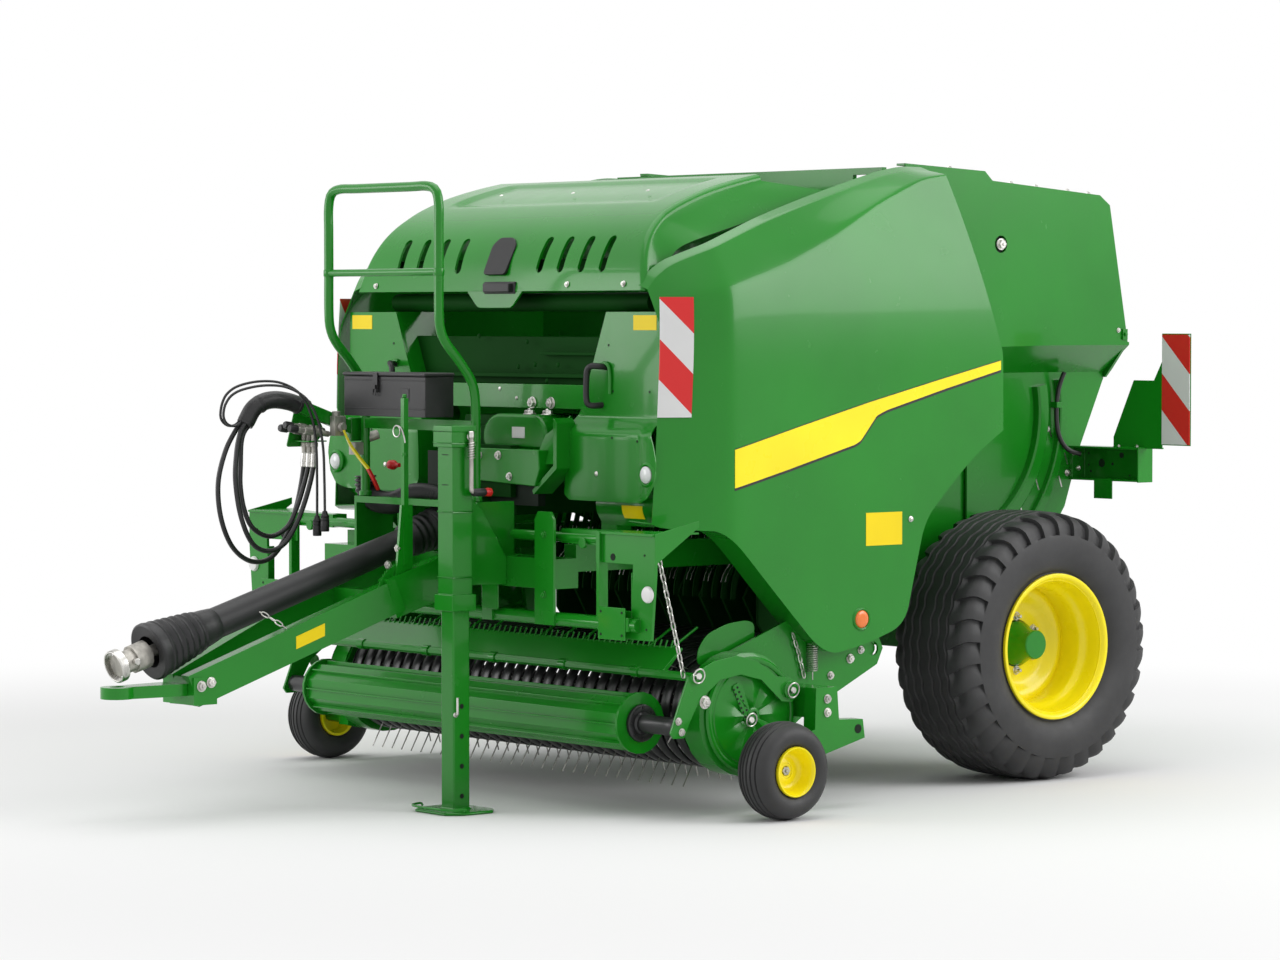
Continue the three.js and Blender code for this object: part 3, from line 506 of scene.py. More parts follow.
@dataclass(frozen=True)
class StripedFilm(Finish):
    """Red and white warning film: stripes slope down towards the machine's outer side.

    The pattern's value is the UV's sum, in metres; a stripe is every other half of its period.
    """

    red: tuple[float, float, float] = (0.66, 0.022, 0.022)
    period: float = 0.293
    phase: float = 0.0324

    def tint(self, tree: bpy.types.NodeTree, group: bpy.types.Node) -> bpy.types.NodeSocket:
        """Red or white by the UV, on top of the film's own drift."""
        place = add_node(tree, "ShaderNodeTexCoord")
        split = add_node(tree, "ShaderNodeSeparateXYZ")
        tree.links.new(place.outputs["UV"], split.inputs[0])
        total = add_node(tree, "ShaderNodeMath", operation="ADD")
        tree.links.new(split.outputs[0], total.inputs[0])
        tree.links.new(split.outputs[1], total.inputs[1])
        turns = add_node(tree, "ShaderNodeMath", operation="MULTIPLY_ADD", i1=1 / self.period, i2=self.phase)
        tree.links.new(total.outputs[0], turns.inputs[0])
        part = add_node(tree, "ShaderNodeMath", operation="FRACT")
        tree.links.new(turns.outputs[0], part.inputs[0])
        half = add_node(tree, "ShaderNodeMath", operation="GREATER_THAN", i1=0.5)
        tree.links.new(part.outputs[0], half.inputs[0])
        mix = add_node(tree, "ShaderNodeMix", data_type="RGBA")
        tree.links.new(half.outputs[0], mix.inputs["Factor"])
        tree.links.new(group.outputs["Colour"], mix.inputs[6])
        mix.inputs[7].default_value = (*self.red, 1.0)
        return mix.outputs[2]

GREEN = Finish("green_gloss_paint", (0.006, 0.212, 0.008), 0.26, Skin.PAINT, "green_paint", 0.32, coat=0.25)
# Painted shade: a darkened, dull green for parts deep in the front bay and the intake throat, where shade
# falls on the green paint.
SHADED = Finish("shadowed_green_paint", (0.003, 0.050, 0.004), 0.6, Skin.PAINT, "green_paint", 0.06)
YELLOW = Finish("yellow_gloss_paint", (0.94, 0.79, 0.006), 0.28, Skin.PAINT, "yellow_paint", 0.35, coat=0.2)
BLACK = Finish("black_satin_paint", (0.012, 0.012, 0.013), 0.32, Skin.PAINT, "black_paint", 0.5)
PLASTIC = Finish("black_moulded_plastic", (0.016, 0.016, 0.017), 0.42, Skin.GRAINED, "black_plastic", 0.4)
TYRE = Finish("tyre_rubber_black", (0.024, 0.024, 0.025), 0.55, Skin.RUBBER, "tyre_rubber", 0.5, drift=0.2)
HOSE = Finish("hose_rubber_black", (0.016, 0.016, 0.017), 0.38, Skin.RUBBER, "hose_rubber", 0.5)
ZINC = Finish("zinc_plating", (0.60, 0.59, 0.56), 0.30, Skin.PLATED, "zinc", 0.5, 1.0, drift=0.25)
CAST = Finish("bare_cast_metal", (0.40, 0.385, 0.35), 0.5, Skin.PLATED, "zinc", 0.4, 0.6, drift=0.2)
WIRE = Finish("spring_steel_wire", (0.42, 0.41, 0.39), 0.32, Skin.PLATED, "zinc", 0.5, 0.9)
# Painted shade: a near-black green that stands for the shadow inside holes, bores, wells, slots and hollows.
HOLE_SHADE = Finish("painted_hole_shade", (0.004, 0.012, 0.005), 0.6, Skin.PAINT, "green_paint", 0.2)
RED = Finish("red_moulded_plastic", (0.62, 0.012, 0.012), 0.34, Skin.GRAINED, "black_plastic", 0.4)
LABEL = Finish("blank_yellow_film", (0.88, 0.66, 0.0), 0.4, Skin.PAINT, "yellow_paint", 0.3)
WHITE = Finish("blank_white_film", (0.74, 0.74, 0.73), 0.35, Skin.PAINT, "board_film", 0.4)
FILM = StripedFilm("red_and_white_film", (0.72, 0.72, 0.72), 0.34, Skin.PAINT, "board_film", 0.4)
AMBER = Finish("amber_lens", (0.80, 0.17, 0.01), 0.18, Skin.GRAINED, "board_film", 0.5, coat=0.6)
LENS = Finish("clear_reflector_lens", (0.70, 0.71, 0.72), 0.16, Skin.GRAINED, "board_film", 0.6, coat=0.8)

# ---------- pieces ----------
# Points nearer than a merge distance are one point; a CAD node's faces within CAD_FLAT are one face.
MERGE = 2e-5
CAD_MERGE = 1e-5
CAD_FLAT = math.radians(0.6)

def mesh_of(name: str, form: Form) -> bpy.types.Mesh:
    """A mesh from a form, its doubles merged and its faces turned outward."""
    mesh = bpy.data.meshes.new(name)
    mesh.from_pydata(form.points.tolist(), [], form.faces)
    if form.uv is not None and np.any(form.uv):
        layer = mesh.uv_layers.new(name="UVMap")
        index = np.empty(len(mesh.loops), np.int32)
        mesh.loops.foreach_get("vertex_index", index)
        layer.data.foreach_set("uv", form.uv[index].astype(np.float32).ravel())
    shell = bmesh.new()
    shell.from_mesh(mesh)
    bmesh.ops.remove_doubles(shell, verts=shell.verts, dist=MERGE)
    bmesh.ops.dissolve_degenerate(shell, dist=MERGE / 20, edges=shell.edges)
    bmesh.ops.recalc_face_normals(shell, faces=shell.faces)
    shell.to_mesh(mesh)
    shell.free()
    return mesh

def smooth(mesh: bpy.types.Mesh, angle: float) -> None:
    """Smooth shading, with edges sharper than an angle in degrees left hard."""
    mesh.polygons.foreach_set("use_smooth", np.ones(len(mesh.polygons), bool))
    if angle < 180:
        mesh.set_sharp_from_angle(angle=math.radians(angle))

def soften(obj: bpy.types.Object, width: float, segments: int = 2, angle: float = HARD_EDGE) -> None:
    """Rounds the edges of a piece that are sharper than an angle, as paint and folding round them."""
    edge = obj.modifiers.new("rounded_edges", "BEVEL")
    edge.width = width
    edge.segments = segments
    edge.limit_method = "ANGLE"
    edge.angle_limit = math.radians(angle)
    edge.harden_normals = True
    edge.use_clamp_overlap = True
    flats = obj.modifiers.new("flat_faces", "WEIGHTED_NORMAL")
    flats.keep_sharp = True
    flats.weight = 80

def make(
    name: str,
    forms: Form | Iterable[Form],
    finish: Finish,
    body: str,
    edge: float = 0.0,
    replaces: Sequence[str] = (),
    angle: float = HARD_EDGE,
) -> bpy.types.Object:
    """A finished piece from forms that are placed from the axle line.

    Args:
        name: The piece's name.
        forms: One form or several.
        finish: Its finish.
        body: The CAD body that it rides on; empty for a piece that is blended later.
        edge: How far its hard edges are rounded.
        replaces: The CAD nodes that it stands for.
        angle: The angle from which an edge is hard.

    Returns:
        The piece.
    """
    form = forms if isinstance(forms, Form) else joined(forms)
    mesh = mesh_of(name, form.moved(0, AXLE_Y, 0))
    smooth(mesh, 180 if edge else angle)
    obj = bpy.data.objects.new(name, mesh)
    bpy.context.scene.collection.objects.link(obj)
    mesh.materials.append(finish.material())
    if edge:
        soften(obj, edge, angle=angle)
    if body:
        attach(obj, body)
    if replaces:
        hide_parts(*replaces)
    log.info("%s: %d faces, %s", name, len(mesh.polygons), finish.name)
    return obj

def pierce(obj: bpy.types.Object, cutters: Iterable[Form]) -> None:
    """Cuts forms out of a piece and keeps the result as its mesh."""
    tool = bpy.data.objects.new("cutter", mesh_of("cutter", joined(cutters).moved(0, AXLE_Y, 0)))
    bpy.context.scene.collection.objects.link(tool)
    cut = obj.modifiers.new("cut", "BOOLEAN")
    cut.operation, cut.object, cut.solver = "DIFFERENCE", tool, "EXACT"
    obj.modifiers.move(len(obj.modifiers) - 1, 0)
    others = [m for m in obj.modifiers if m != cut]
    shown = [m.show_viewport for m in others]
    for modifier in others:
        modifier.show_viewport = False
    bpy.context.view_layer.update()
    result = bpy.data.meshes.new_from_object(obj.evaluated_get(bpy.context.evaluated_depsgraph_get()))
    obj.modifiers.remove(cut)
    for modifier, state in zip(others, shown):
        modifier.show_viewport = state
    obj.data = result
    bpy.data.objects.remove(tool)

def refine(node: str, finish: Finish, body: str, edge: float = 0.0025,
           angle: float = HARD_EDGE) -> bpy.types.Object:
    """A CAD node's own shape with its doubles merged, its flats whole and its edges rounded, in its place."""
    source = frame["nodes"][node]
    mesh = source.data.copy()
    mesh.name = node + "_finished"
    mesh.materials.clear()
    shell = bmesh.new()
    shell.from_mesh(mesh)
    bmesh.ops.remove_doubles(shell, verts=shell.verts, dist=CAD_MERGE)
    bmesh.ops.dissolve_limit(shell, angle_limit=CAD_FLAT, verts=shell.verts, edges=shell.edges)
    shell.to_mesh(mesh)
    shell.free()
    smooth(mesh, 180 if edge else angle)
    obj = bpy.data.objects.new(node + "_finished", mesh)
    bpy.context.scene.collection.objects.link(obj)
    mesh.materials.append(finish.material())
    if edge:
        soften(obj, edge, angle=angle)
    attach(obj, body)
    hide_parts(node)
    log.info("%s: refined, %s", node, finish.name)
    return obj

# ---------- studio ----------
@dataclass(frozen=True)
class Softbox:
    """A square soft lamp that looks at the machine's middle."""

    name: str
    place: tuple[float, float, float]
    size: tuple[float, float]
    power: float
    aim: tuple[float, float, float] = (0.0, -0.2, 1.1)

@dataclass
class Studio:
    """The camera, the soft lamps, the white surround and the floor."""

    stand: tuple[float, float, float] = (12.6266, -11.7514, 1.8195)
    azimuth: float = 50.03
    elevation: float = 2.246
    focal_share: float = 4192.6 / 1280
    sensor: float = 36.0
    surround: float = 0.62
    floor_shade: tuple[float, float, float] = (0.82, 0.82, 0.82)
    floor_reach: float = 60.0
    floor_fade: tuple[float, float] = (3.0, 6.5)
    lamps: tuple[Softbox, ...] = (
        Softbox("overhead", (0.0, 0.0, 8.0), (7.0, 7.0), 260.0, (0.0, 0.0, 0.0)),
        Softbox("door_side", (7.4, 5.6, 5.4), (6.0, 5.6), 460.0),
        Softbox("front_side", (-5.5, -8.0, 3.4), (6.0, 4.4), 300.0),
    )

    def build(self) -> None:
        """Builds everything in turn."""
        self.set_camera()
        self.light()
        self.lay_floor()

    def set_camera(self) -> None:
        """The camera looks along its azimuth and elevation, level."""
        optics = bpy.data.cameras.new("camera")
        optics.sensor_width = self.sensor
        optics.lens = self.focal_share * self.sensor
        optics.clip_end = 200.0
        camera = bpy.data.objects.new("camera", optics)
        bpy.context.scene.collection.objects.link(camera)
        around, above = math.radians(self.azimuth), math.radians(self.elevation)
        back = Vector(
            (math.sin(around) * math.cos(above), -math.cos(around) * math.cos(above), math.sin(above))
        )
        camera.location = Vector(self.stand) + Vector((0, AXLE_Y, 0))
        camera.rotation_euler = (-back).to_track_quat("-Z", "Y").to_euler()
        bpy.context.scene.camera = camera

    def light(self) -> None:
        """Soft lamps, and a surround that is white wherever it is seen."""
        scene = bpy.context.scene
        scene.view_settings.view_transform = "Standard"
        for lamp in self.lamps:
            data = bpy.data.lights.new(lamp.name, "AREA")
            data.shape = "RECTANGLE"
            data.size, data.size_y = lamp.size
            data.energy = lamp.power
            holder = bpy.data.objects.new(lamp.name, data)
            scene.collection.objects.link(holder)
            holder.location = lamp.place
            way = Vector(lamp.aim) - Vector(lamp.place)
            holder.rotation_euler = way.to_track_quat("-Z", "Y").to_euler()
        world = bpy.data.worlds.new("surround")
        world.use_nodes = True
        scene.world = world
        tree = world.node_tree
        path = add_node(tree, "ShaderNodeLightPath")
        seen = add_node(tree, "ShaderNodeMath", operation="MAXIMUM")
        tree.links.new(path.outputs["Is Camera Ray"], seen.inputs[0])
        tree.links.new(path.outputs["Is Glossy Ray"], seen.inputs[1])
        through = add_node(tree, "ShaderNodeMath", operation="MAXIMUM")
        tree.links.new(seen.outputs[0], through.inputs[0])
        tree.links.new(path.outputs["Is Transmission Ray"], through.inputs[1])
        level = add_node(tree, "ShaderNodeMapRange", i3=self.surround, i4=1.0)
        tree.links.new(through.outputs[0], level.inputs[0])
        backdrop = tree.nodes["Background"]
        backdrop.inputs["Color"].default_value = (1.0, 1.0, 1.0, 1.0)
        tree.links.new(level.outputs[0], backdrop.inputs["Strength"])

    def lay_floor(self) -> None:
        """A plain pale floor that turns to plain white some way from the machine."""
        reach = self.floor_reach
        floor_mesh = bpy.data.meshes.new("floor")
        corners = [(-reach, -reach, 0), (reach, -reach, 0), (reach, reach, 0), (-reach, reach, 0)]
        floor_mesh.from_pydata(corners, [], [(0, 1, 2, 3)])
        floor = bpy.data.objects.new("floor", floor_mesh)
        bpy.context.scene.collection.objects.link(floor)
        paint = bpy.data.materials.new("floor_paint")
        paint.use_nodes = True
        tree = paint.node_tree
        shader = tree.nodes["Principled BSDF"]
        shader.inputs["Base Color"].default_value = (*self.floor_shade, 1.0)
        shader.inputs["Roughness"].default_value = 0.9
        shader.inputs["Specular IOR Level"].default_value = 0.1
        place = add_node(tree, "ShaderNodeTexCoord")
        reach_out = add_node(tree, "ShaderNodeVectorMath", operation="LENGTH")
        tree.links.new(place.outputs["Object"], reach_out.inputs[0])
        near, far = self.floor_fade
        fade = add_node(tree, "ShaderNodeMapRange", interpolation_type="SMOOTHSTEP", i1=near, i2=far)
        tree.links.new(reach_out.outputs["Value"], fade.inputs[0])
        path = add_node(tree, "ShaderNodeLightPath")
        seen = add_node(tree, "ShaderNodeMath", operation="MAXIMUM")
        tree.links.new(path.outputs["Is Camera Ray"], seen.inputs[0])
        tree.links.new(path.outputs["Is Glossy Ray"], seen.inputs[1])
        share = add_node(tree, "ShaderNodeMath", operation="MULTIPLY")
        tree.links.new(fade.outputs[0], share.inputs[0])
        tree.links.new(seen.outputs[0], share.inputs[1])
        white = add_node(tree, "ShaderNodeEmission")
        blend = add_node(tree, "ShaderNodeMixShader")
        tree.links.new(share.outputs[0], blend.inputs[0])
        tree.links.new(shader.outputs[0], blend.inputs[1])
        tree.links.new(white.outputs[0], blend.inputs[2])
        tree.links.new(blend.outputs[0], tree.nodes["Material Output"].inputs[0])
        floor_mesh.materials.append(paint)

# ---------- hoses and cables ----------
CORD_ROUTES = {
    "hose_1": [
        (-0.434, -2.757, 1.424), (-0.437, -2.782, 1.394), (-0.442, -2.830, 1.310), (-0.444, -2.862, 1.190),
        (-0.444, -2.850, 1.060), (-0.443, -2.800, 0.950), (-0.441, -2.720, 0.893), (-0.440, -2.630, 0.900),
        (-0.438, -2.560, 0.975), (-0.437, -2.510, 1.090), (-0.437, -2.480, 1.210), (-0.437, -2.470, 1.295),
    ],
    "hose_2": [
        (-0.402, -2.757, 1.424), (-0.404, -2.777, 1.400), (-0.404, -2.790, 1.374), (-0.402, -2.806, 1.310),
        (-0.398, -2.815, 1.200), (-0.395, -2.793, 1.065), (-0.392, -2.743, 0.962), (-0.388, -2.672, 0.931),
        (-0.384, -2.601, 0.958), (-0.379, -2.550, 1.030), (-0.376, -2.510, 1.120), (-0.373, -2.480, 1.220),
        (-0.373, -2.470, 1.295),
    ],
    "hose_3": [
        (-0.418, -2.738, 1.409), (-0.420, -2.762, 1.378), (-0.421, -2.773, 1.336), (-0.421, -2.776, 1.260),
        (-0.420, -2.778, 1.180), (-0.418, -2.763, 1.092), (-0.414, -2.726, 1.019), (-0.410, -2.650, 0.985),
        (-0.406, -2.574, 1.018), (-0.405, -2.530, 1.090), (-0.405, -2.495, 1.180), (-0.405, -2.475, 1.250),
        (-0.405, -2.470, 1.295),
    ],
    "cable_1": [
        (-0.426, -2.769, 1.434), (-0.427, -2.778, 1.422), (-0.429, -2.794, 1.409), (-0.431, -2.813, 1.405),
        (-0.432, -2.832, 1.409), (-0.433, -2.848, 1.421), (-0.433, -2.857, 1.438), (-0.432, -2.858, 1.460),
        (-0.428, -2.852, 1.494), (-0.421, -2.834, 1.528), (-0.410, -2.790, 1.556), (-0.390, -2.710, 1.572),
        (-0.368, -2.625, 1.565), (-0.348, -2.552, 1.522), (-0.338, -2.508, 1.440), (-0.336, -2.488, 1.330),
        (-0.339, -2.482, 1.200), (-0.342, -2.480, 1.062),
    ],
    "cable_2": [
        (-0.410, -2.769, 1.434), (-0.411, -2.778, 1.422), (-0.413, -2.794, 1.409), (-0.414, -2.813, 1.405),
        (-0.415, -2.832, 1.409), (-0.416, -2.847, 1.421), (-0.416, -2.855, 1.438), (-0.415, -2.856, 1.459),
        (-0.411, -2.849, 1.489), (-0.402, -2.827, 1.521), (-0.390, -2.782, 1.543), (-0.366, -2.700, 1.557),
        (-0.345, -2.613, 1.548), (-0.322, -2.540, 1.503), (-0.308, -2.498, 1.420), (-0.302, -2.480, 1.320),
        (-0.300, -2.476, 1.200), (-0.300, -2.474, 1.080),
    ],
}

@dataclass
class HoseBundle:
    """The hydraulic hoses and cables that hang from the boom, with their ferrules and plugs."""

    hose: float = 0.019
    cable: float = 0.010
    ferrule: float = 0.013
    plug: float = 0.017
    plug_length: float = 0.078

    def build(self) -> None:
        """Hoses end in the couplers, cables in their plugs."""
        for number in (1, 2, 3):
            name = f"hose_{number}"
            route = CORD_ROUTES[name]
            end = np.array(route[-1])
            crimp = make(
                name + "_ferrule",
                [
                    disc(end - [0, 0.004, 0.052], end + [0, 0, 0.002], self.ferrule, 20, 0.002),
                    disc(end - [0, 0.003, 0.040], end - [0, 0.002, 0.034], self.ferrule * 1.12, 20, 0.001),
                ],
                ZINC, "chassis",
            )
            self.lay(name, route, self.hose, [crimp])
        for number in (1, 2):
            name = f"cable_{number}"
            self.lay(name, CORD_ROUTES[name], self.cable, [self.plug_on(number)])

    def lay(self, name: str, route: Sequence[Place], diameter: float,
            with_pieces: list[bpy.types.Object]) -> None:
        """One free cord along its route, as a tube that follows it.

        Args:
            name: The cord's CAD node.
            route: Its points from the axle line.
            diameter: Its diameter.
            with_pieces: The pieces that go with it; not used.
        """
        path = flowing(route, 90)
        piece = make(name + "_tube", pipe(path, diameter / 2, 12), HOSE, "chassis", replaces=[name])

    def plug_on(self, number: int) -> bpy.types.Object:
        """A cable's plug: a tapered boot, a ribbed grip and a socket collar."""
        top = np.array(CORD_ROUTES[f"cable_{number}"][-1])
        size = self.plug
        profile = [
            (0.0, AXIS), (0.0, 0.5 * size), (-0.014, 0.75 * size), (-0.018, 0.97 * size),
            (-0.024, 0.97 * size), (-0.026, 0.88 * size), (-0.030, 0.97 * size), (-0.036, 0.97 * size),
            (-0.038, 0.88 * size), (-0.042, 0.98 * size), (-self.plug_length + 0.004, 0.98 * size),
            (-self.plug_length, 0.9 * size), (-self.plug_length, 0.6 * size),
            (-self.plug_length + 0.02, 0.55 * size), (-self.plug_length + 0.02, AXIS),
        ]
        form = revolved(profile, top, "z", 24, False)
        return make(f"plug_{number}_body", form, PLASTIC, "chassis", replaces=[f"plug_{number}"])

# ---------- wheels ----------
@dataclass
class FarmWheel:
    """A main wheel: a flotation tyre with wavy ribs and shoulder lugs, a deep dished rim and a flared hub."""

    middle: float = 0.945
    height: float = 0.527
    lugs: int = 34
    lug_depth: float = 0.015
    rib_depth: float = 0.007
    rib_wave: float = 0.0055
    grooves: int = 3
    lug_slant: float = 0.8
    nut_ring: float = 0.107
    section: tuple[tuple[float, float], ...] = (
        (0.0, 0.5268), (0.06, 0.5263), (0.12, 0.5240), (0.160, 0.5185), (0.184, 0.5070), (0.200, 0.4870),
        (0.211, 0.4580), (0.2175, 0.4200), (0.2195, 0.3850), (0.2170, 0.3500), (0.2080, 0.3200),
        (0.1950, 0.3010), (0.1850, 0.2925), (0.1845, 0.2650),
    )
    columns: tuple[float, ...] = (
        0.0, 0.022, 0.026, 0.033, 0.037, 0.066, 0.070, 0.077, 0.081, 0.108, 0.112, 0.119, 0.123, 0.132, 0.140,
        0.155, 0.170, 0.185, 0.200, 0.215, 0.230, 0.245, 0.258, 0.262, 0.266, 0.272, 0.285, 0.300, 0.320,
        0.345, 0.370, 0.395, 0.420, 0.440, 0.455, 0.468,
    )
    lug_rows: tuple[tuple[float, float], ...] = (
        (0.0, 0.0), (0.035, 1.0), (0.11, 1.0), (0.25, 0.72), (0.42, 0.36), (0.58, 0.12), (0.72, 0.0),
        (0.88, 0.0),
    )

    def tread(self) -> Form:
        """The tyre on a grid of turn and arc across; each groove is four of the columns after the first.

        The ribs' grooves run along columns, which a sine wave bends once in every lug. A lug's edge runs
        along a row, which leans with the arc; behind the edge the depth falls away in a saw tooth.
        """
        half = np.array(self.section)
        arc = np.concatenate([[0.0], np.cumsum(np.linalg.norm(np.diff(half, axis=0), axis=1))])
        side = np.minimum(np.array(self.columns), arc[-1])
        across = np.concatenate([-side[:0:-1], side])
        starts, cuts = np.array(self.lug_rows).T
        turn = ((np.arange(self.lugs)[:, None] + starts).ravel() / self.lugs * 2 * np.pi)[:, None]
        saw = np.tile(cuts, self.lugs)[:, None]
        reach = np.abs(across)[None]
        calm = np.interp(reach, [0.0, 0.13, 0.16], [1.0, 1.0, 0.0])
        bend = across[None] + self.rib_wave * np.sin(self.lugs * turn) * calm
        edges = self.columns[1:1 + 4 * self.grooves]
        groove = np.interp(reach, edges, [0, 1, 1, 0] * self.grooves)
        notch = np.interp(reach, [0.123, 0.140, 0.262, 0.2655], [0.0, 1.0, 1.0, 0.0])
        depth = np.maximum(self.rib_depth * groove, self.lug_depth * notch * saw)
        at = np.abs(bend)
        sideways = np.interp(at, arc, half[:, 0]) * np.sign(bend)
        radius = np.interp(at, arc, half[:, 1])
        slope = np.gradient(half, arc, axis=0)
        out_x = -np.interp(at, arc, slope[:, 1]) * np.sign(bend)
        out_r = np.interp(at, arc, slope[:, 0])
        size = np.hypot(out_x, out_r)
        sideways, radius = sideways - depth * out_x / size, radius - depth * out_r / size
        turned = turn - self.lug_slant * np.clip(reach - 0.10, 0, 0.11)
        grid = np.stack(
            [self.middle + sideways, radius * np.cos(turned), self.height + radius * np.sin(turned)], axis=-1
        )
        return lattice(grid, True, True)

    def barrel(self) -> Form:
        """The rim's barrel: lips, bead ledges and the well between them."""
        profile = [
            (1.1290, 0.2580), (1.1302, 0.2800), (1.1325, 0.2855), (1.1385, 0.2868), (1.1440, 0.2850),
            (1.1460, 0.2800), (1.1445, 0.2735), (1.1400, 0.2680), (1.1280, 0.2595), (1.1080, 0.2535),
            (1.0820, 0.2510), (1.0680, 0.2480), (1.0560, 0.2400), (1.0460, 0.2300), (1.0360, 0.2262),
            (1.0000, 0.2250), (0.8300, 0.2280), (0.7800, 0.2500), (0.7500, 0.2620), (0.7440, 0.2700),
            (0.7440, 0.2840), (0.7500, 0.2868), (0.7560, 0.2855), (0.7610, 0.2580), (0.7950, 0.2560),
            (0.8350, 0.2350), (1.0350, 0.2350), (1.0560, 0.2480), (1.0800, 0.2560),
        ]
        return revolved(profile, (0, 0, self.height), "x", 96)

    def dish(self) -> Form:
        """The wheel disc: a raised ring inside the well, then a flat centre round the hub."""
        profile = [
            (0.9480, 0.2262), (0.9520, 0.2150), (0.9500, 0.2000), (0.9400, 0.1820), (0.9280, 0.1680),
            (0.9220, 0.1540), (0.9200, 0.1300), (0.9200, 0.0930), (0.9030, 0.0930), (0.9030, 0.1560),
            (0.9120, 0.1720), (0.9280, 0.1950), (0.9330, 0.2262),
        ]
        return revolved(profile, (0, 0, self.height), "x", 96)

    def flared_hub(self) -> Form:
        """The hub: a flange behind the disc, and a waist that narrows to its cap."""
        profile = [
            (0.8225, AXIS), (0.8225, 0.0570), (0.8710, 0.0580), (0.8710, 0.1390), (0.8990, 0.1390),
            (0.8990, 0.0880), (0.9280, 0.0880), (0.9380, 0.0850), (0.9520, 0.0760), (0.9700, 0.0660),
            (0.9900, 0.0590), (1.0050, 0.0570), (1.0270, 0.0570), (1.0310, 0.0535), (1.0318, AXIS),
        ]
        return revolved(profile, (0, 0, self.height), "x", 64, False)

    def nuts(self) -> Form:
        """Six wheel nuts in a ring on the disc."""
        angles = [math.radians(30 + 60 * k) for k in range(6)]
        places = [(self.nut_ring * math.cos(a), self.height + self.nut_ring * math.sin(a)) for a in angles]
        heads = [bolt((0.9195, y, z), (1, 0, 0), 0.0125) for y, z in places]
        studs = [disc((0.93, y, z), (0.9465, y, z), 0.007, 12, 0.0015) for y, z in places]
        return joined(heads + studs)

    def build(self) -> None:
        """The left wheel, and its mirror image on the right."""
        for side, sign in SIDES:
            pieces = (
                (f"tyre_{side}_tread", self.tread(), TYRE, [f"tyre_{side}"]),
                (f"wheel_rim_{side}_dished", joined([self.barrel(), self.dish()]), YELLOW,
                 [f"wheel_rim_{side}"]),
                (f"wheel_hub_{side}_flared", self.flared_hub(), GREEN, [f"wheel_hub_{side}"]),
                (f"wheel_nuts_{side}", self.nuts(), ZINC, []),
            )
            for name, form, finish, replaced in pieces:
                make(name, handed(form, sign), finish, f"wheel_{side}", replaces=replaced)

@dataclass
class GaugeWheel:
    """A pickup gauge wheel: a ribbed tyre on a small dished rim."""

    place: tuple[float, float, float] = (1.3995, -1.668, 0.1785)
    crown: float = 0.1784
    grooves: tuple[float, ...] = (-0.040, -0.020, 0.0, 0.020, 0.040)

    def tyre(self) -> Form:
        """The tyre's half circle of a section, with five grooves round its crown."""
        crown = []
        for groove in self.grooves:
            edge = self.crown - 4.5 * groove**2
            crown += [(groove - 0.0045, edge), (groove - 0.002, edge - 0.006), (groove + 0.002, edge - 0.006),
                      (groove + 0.0045, edge)]
        flank = [
            (0.056, 0.1655), (0.066, 0.1590), (0.0745, 0.1480), (0.0785, 0.1340), (0.0780, 0.1180),
            (0.0720, 0.1030), (0.0640, 0.0940), (0.0605, 0.0905), (0.0600, 0.0870),
        ]
        profile = [(-a, r) for a, r in flank[::-1]] + crown + flank
        return revolved(profile, self.place, "x", 72)

    def rim(self) -> Form:
        """The rim's lip, its sloping well and the disc round the bearing."""
        x = self.place[0]
        profile = [
            (1.4604, 0.0845), (1.4604, 0.0890), (1.4640, 0.0915), (1.4720, 0.0920), (1.4770, 0.0895),
            (1.4765, 0.0860), (1.4700, 0.0810), (1.4520, 0.0750), (1.4320, 0.0715), (1.4200, 0.0670),
            (1.4130, 0.0560), (1.4140, 0.0450), (1.4190, 0.0360), (1.4190, 0.0290), (1.4150, 0.0270),
            (1.4150, 0.0175), (1.3900, 0.0175), (1.3900, 0.0660), (1.3345, 0.0740), (1.3335, 0.0838),
        ]
        return revolved([(a - x, r) for a, r in profile], self.place, "x", 64)

    def build(self) -> None:
        """Both gauge wheels."""
        for side, sign in SIDES:
            for name, form, finish in (("tyre", self.tyre(), TYRE), ("rim", self.rim(), YELLOW)):
                make(
                    f"gauge_{name}_{side}_turned", handed(form, sign), finish, f"gauge_wheel_{side}",
                    replaces=[f"gauge_{name}_{side}"],
                )

# ---------- panels ----------
def soft_ramp(t: Points, rounding: float) -> Points:
    """A ramp that is 0 below t = 0 and t above it, its corner rounded: half of t plus the root of t² + r²."""
    return (t + np.sqrt(t * t + rounding * rounding)) / 2

def normals(grid: Points, outward: Place) -> Points:
    """Unit normals of a grid, from its two directions, turned to the side that outward points to."""
    across = np.cross(np.gradient(grid, axis=0), np.gradient(grid, axis=1))
    across /= np.maximum(np.linalg.norm(across, axis=-1, keepdims=True), 1e-12)
    return across if np.mean(across @ np.array(outward, float)) > 0 else -across

def spread(points: Sequence[Place], each: int, smoothing: int) -> Points:
    """A polyline stepped evenly between its points, its corners rounded by a moving mean of that width."""
    corners = np.array(points, float)
    t = np.linspace(0, len(corners) - 1, each * (len(corners) - 1) + 1)
    line = np.stack([np.interp(t, np.arange(len(corners)), corners[:, k]) for k in range(corners.shape[1])],
                    -1)
    reach = smoothing // 2
    padded = np.vstack([2 * line[0] - line[reach:0:-1], line, 2 * line[-1] - line[-2:-reach - 2:-1]])
    window = np.ones(smoothing) / smoothing
    return np.stack([np.convolve(padded[:, k], window, "valid") for k in range(line.shape[1])], axis=-1)

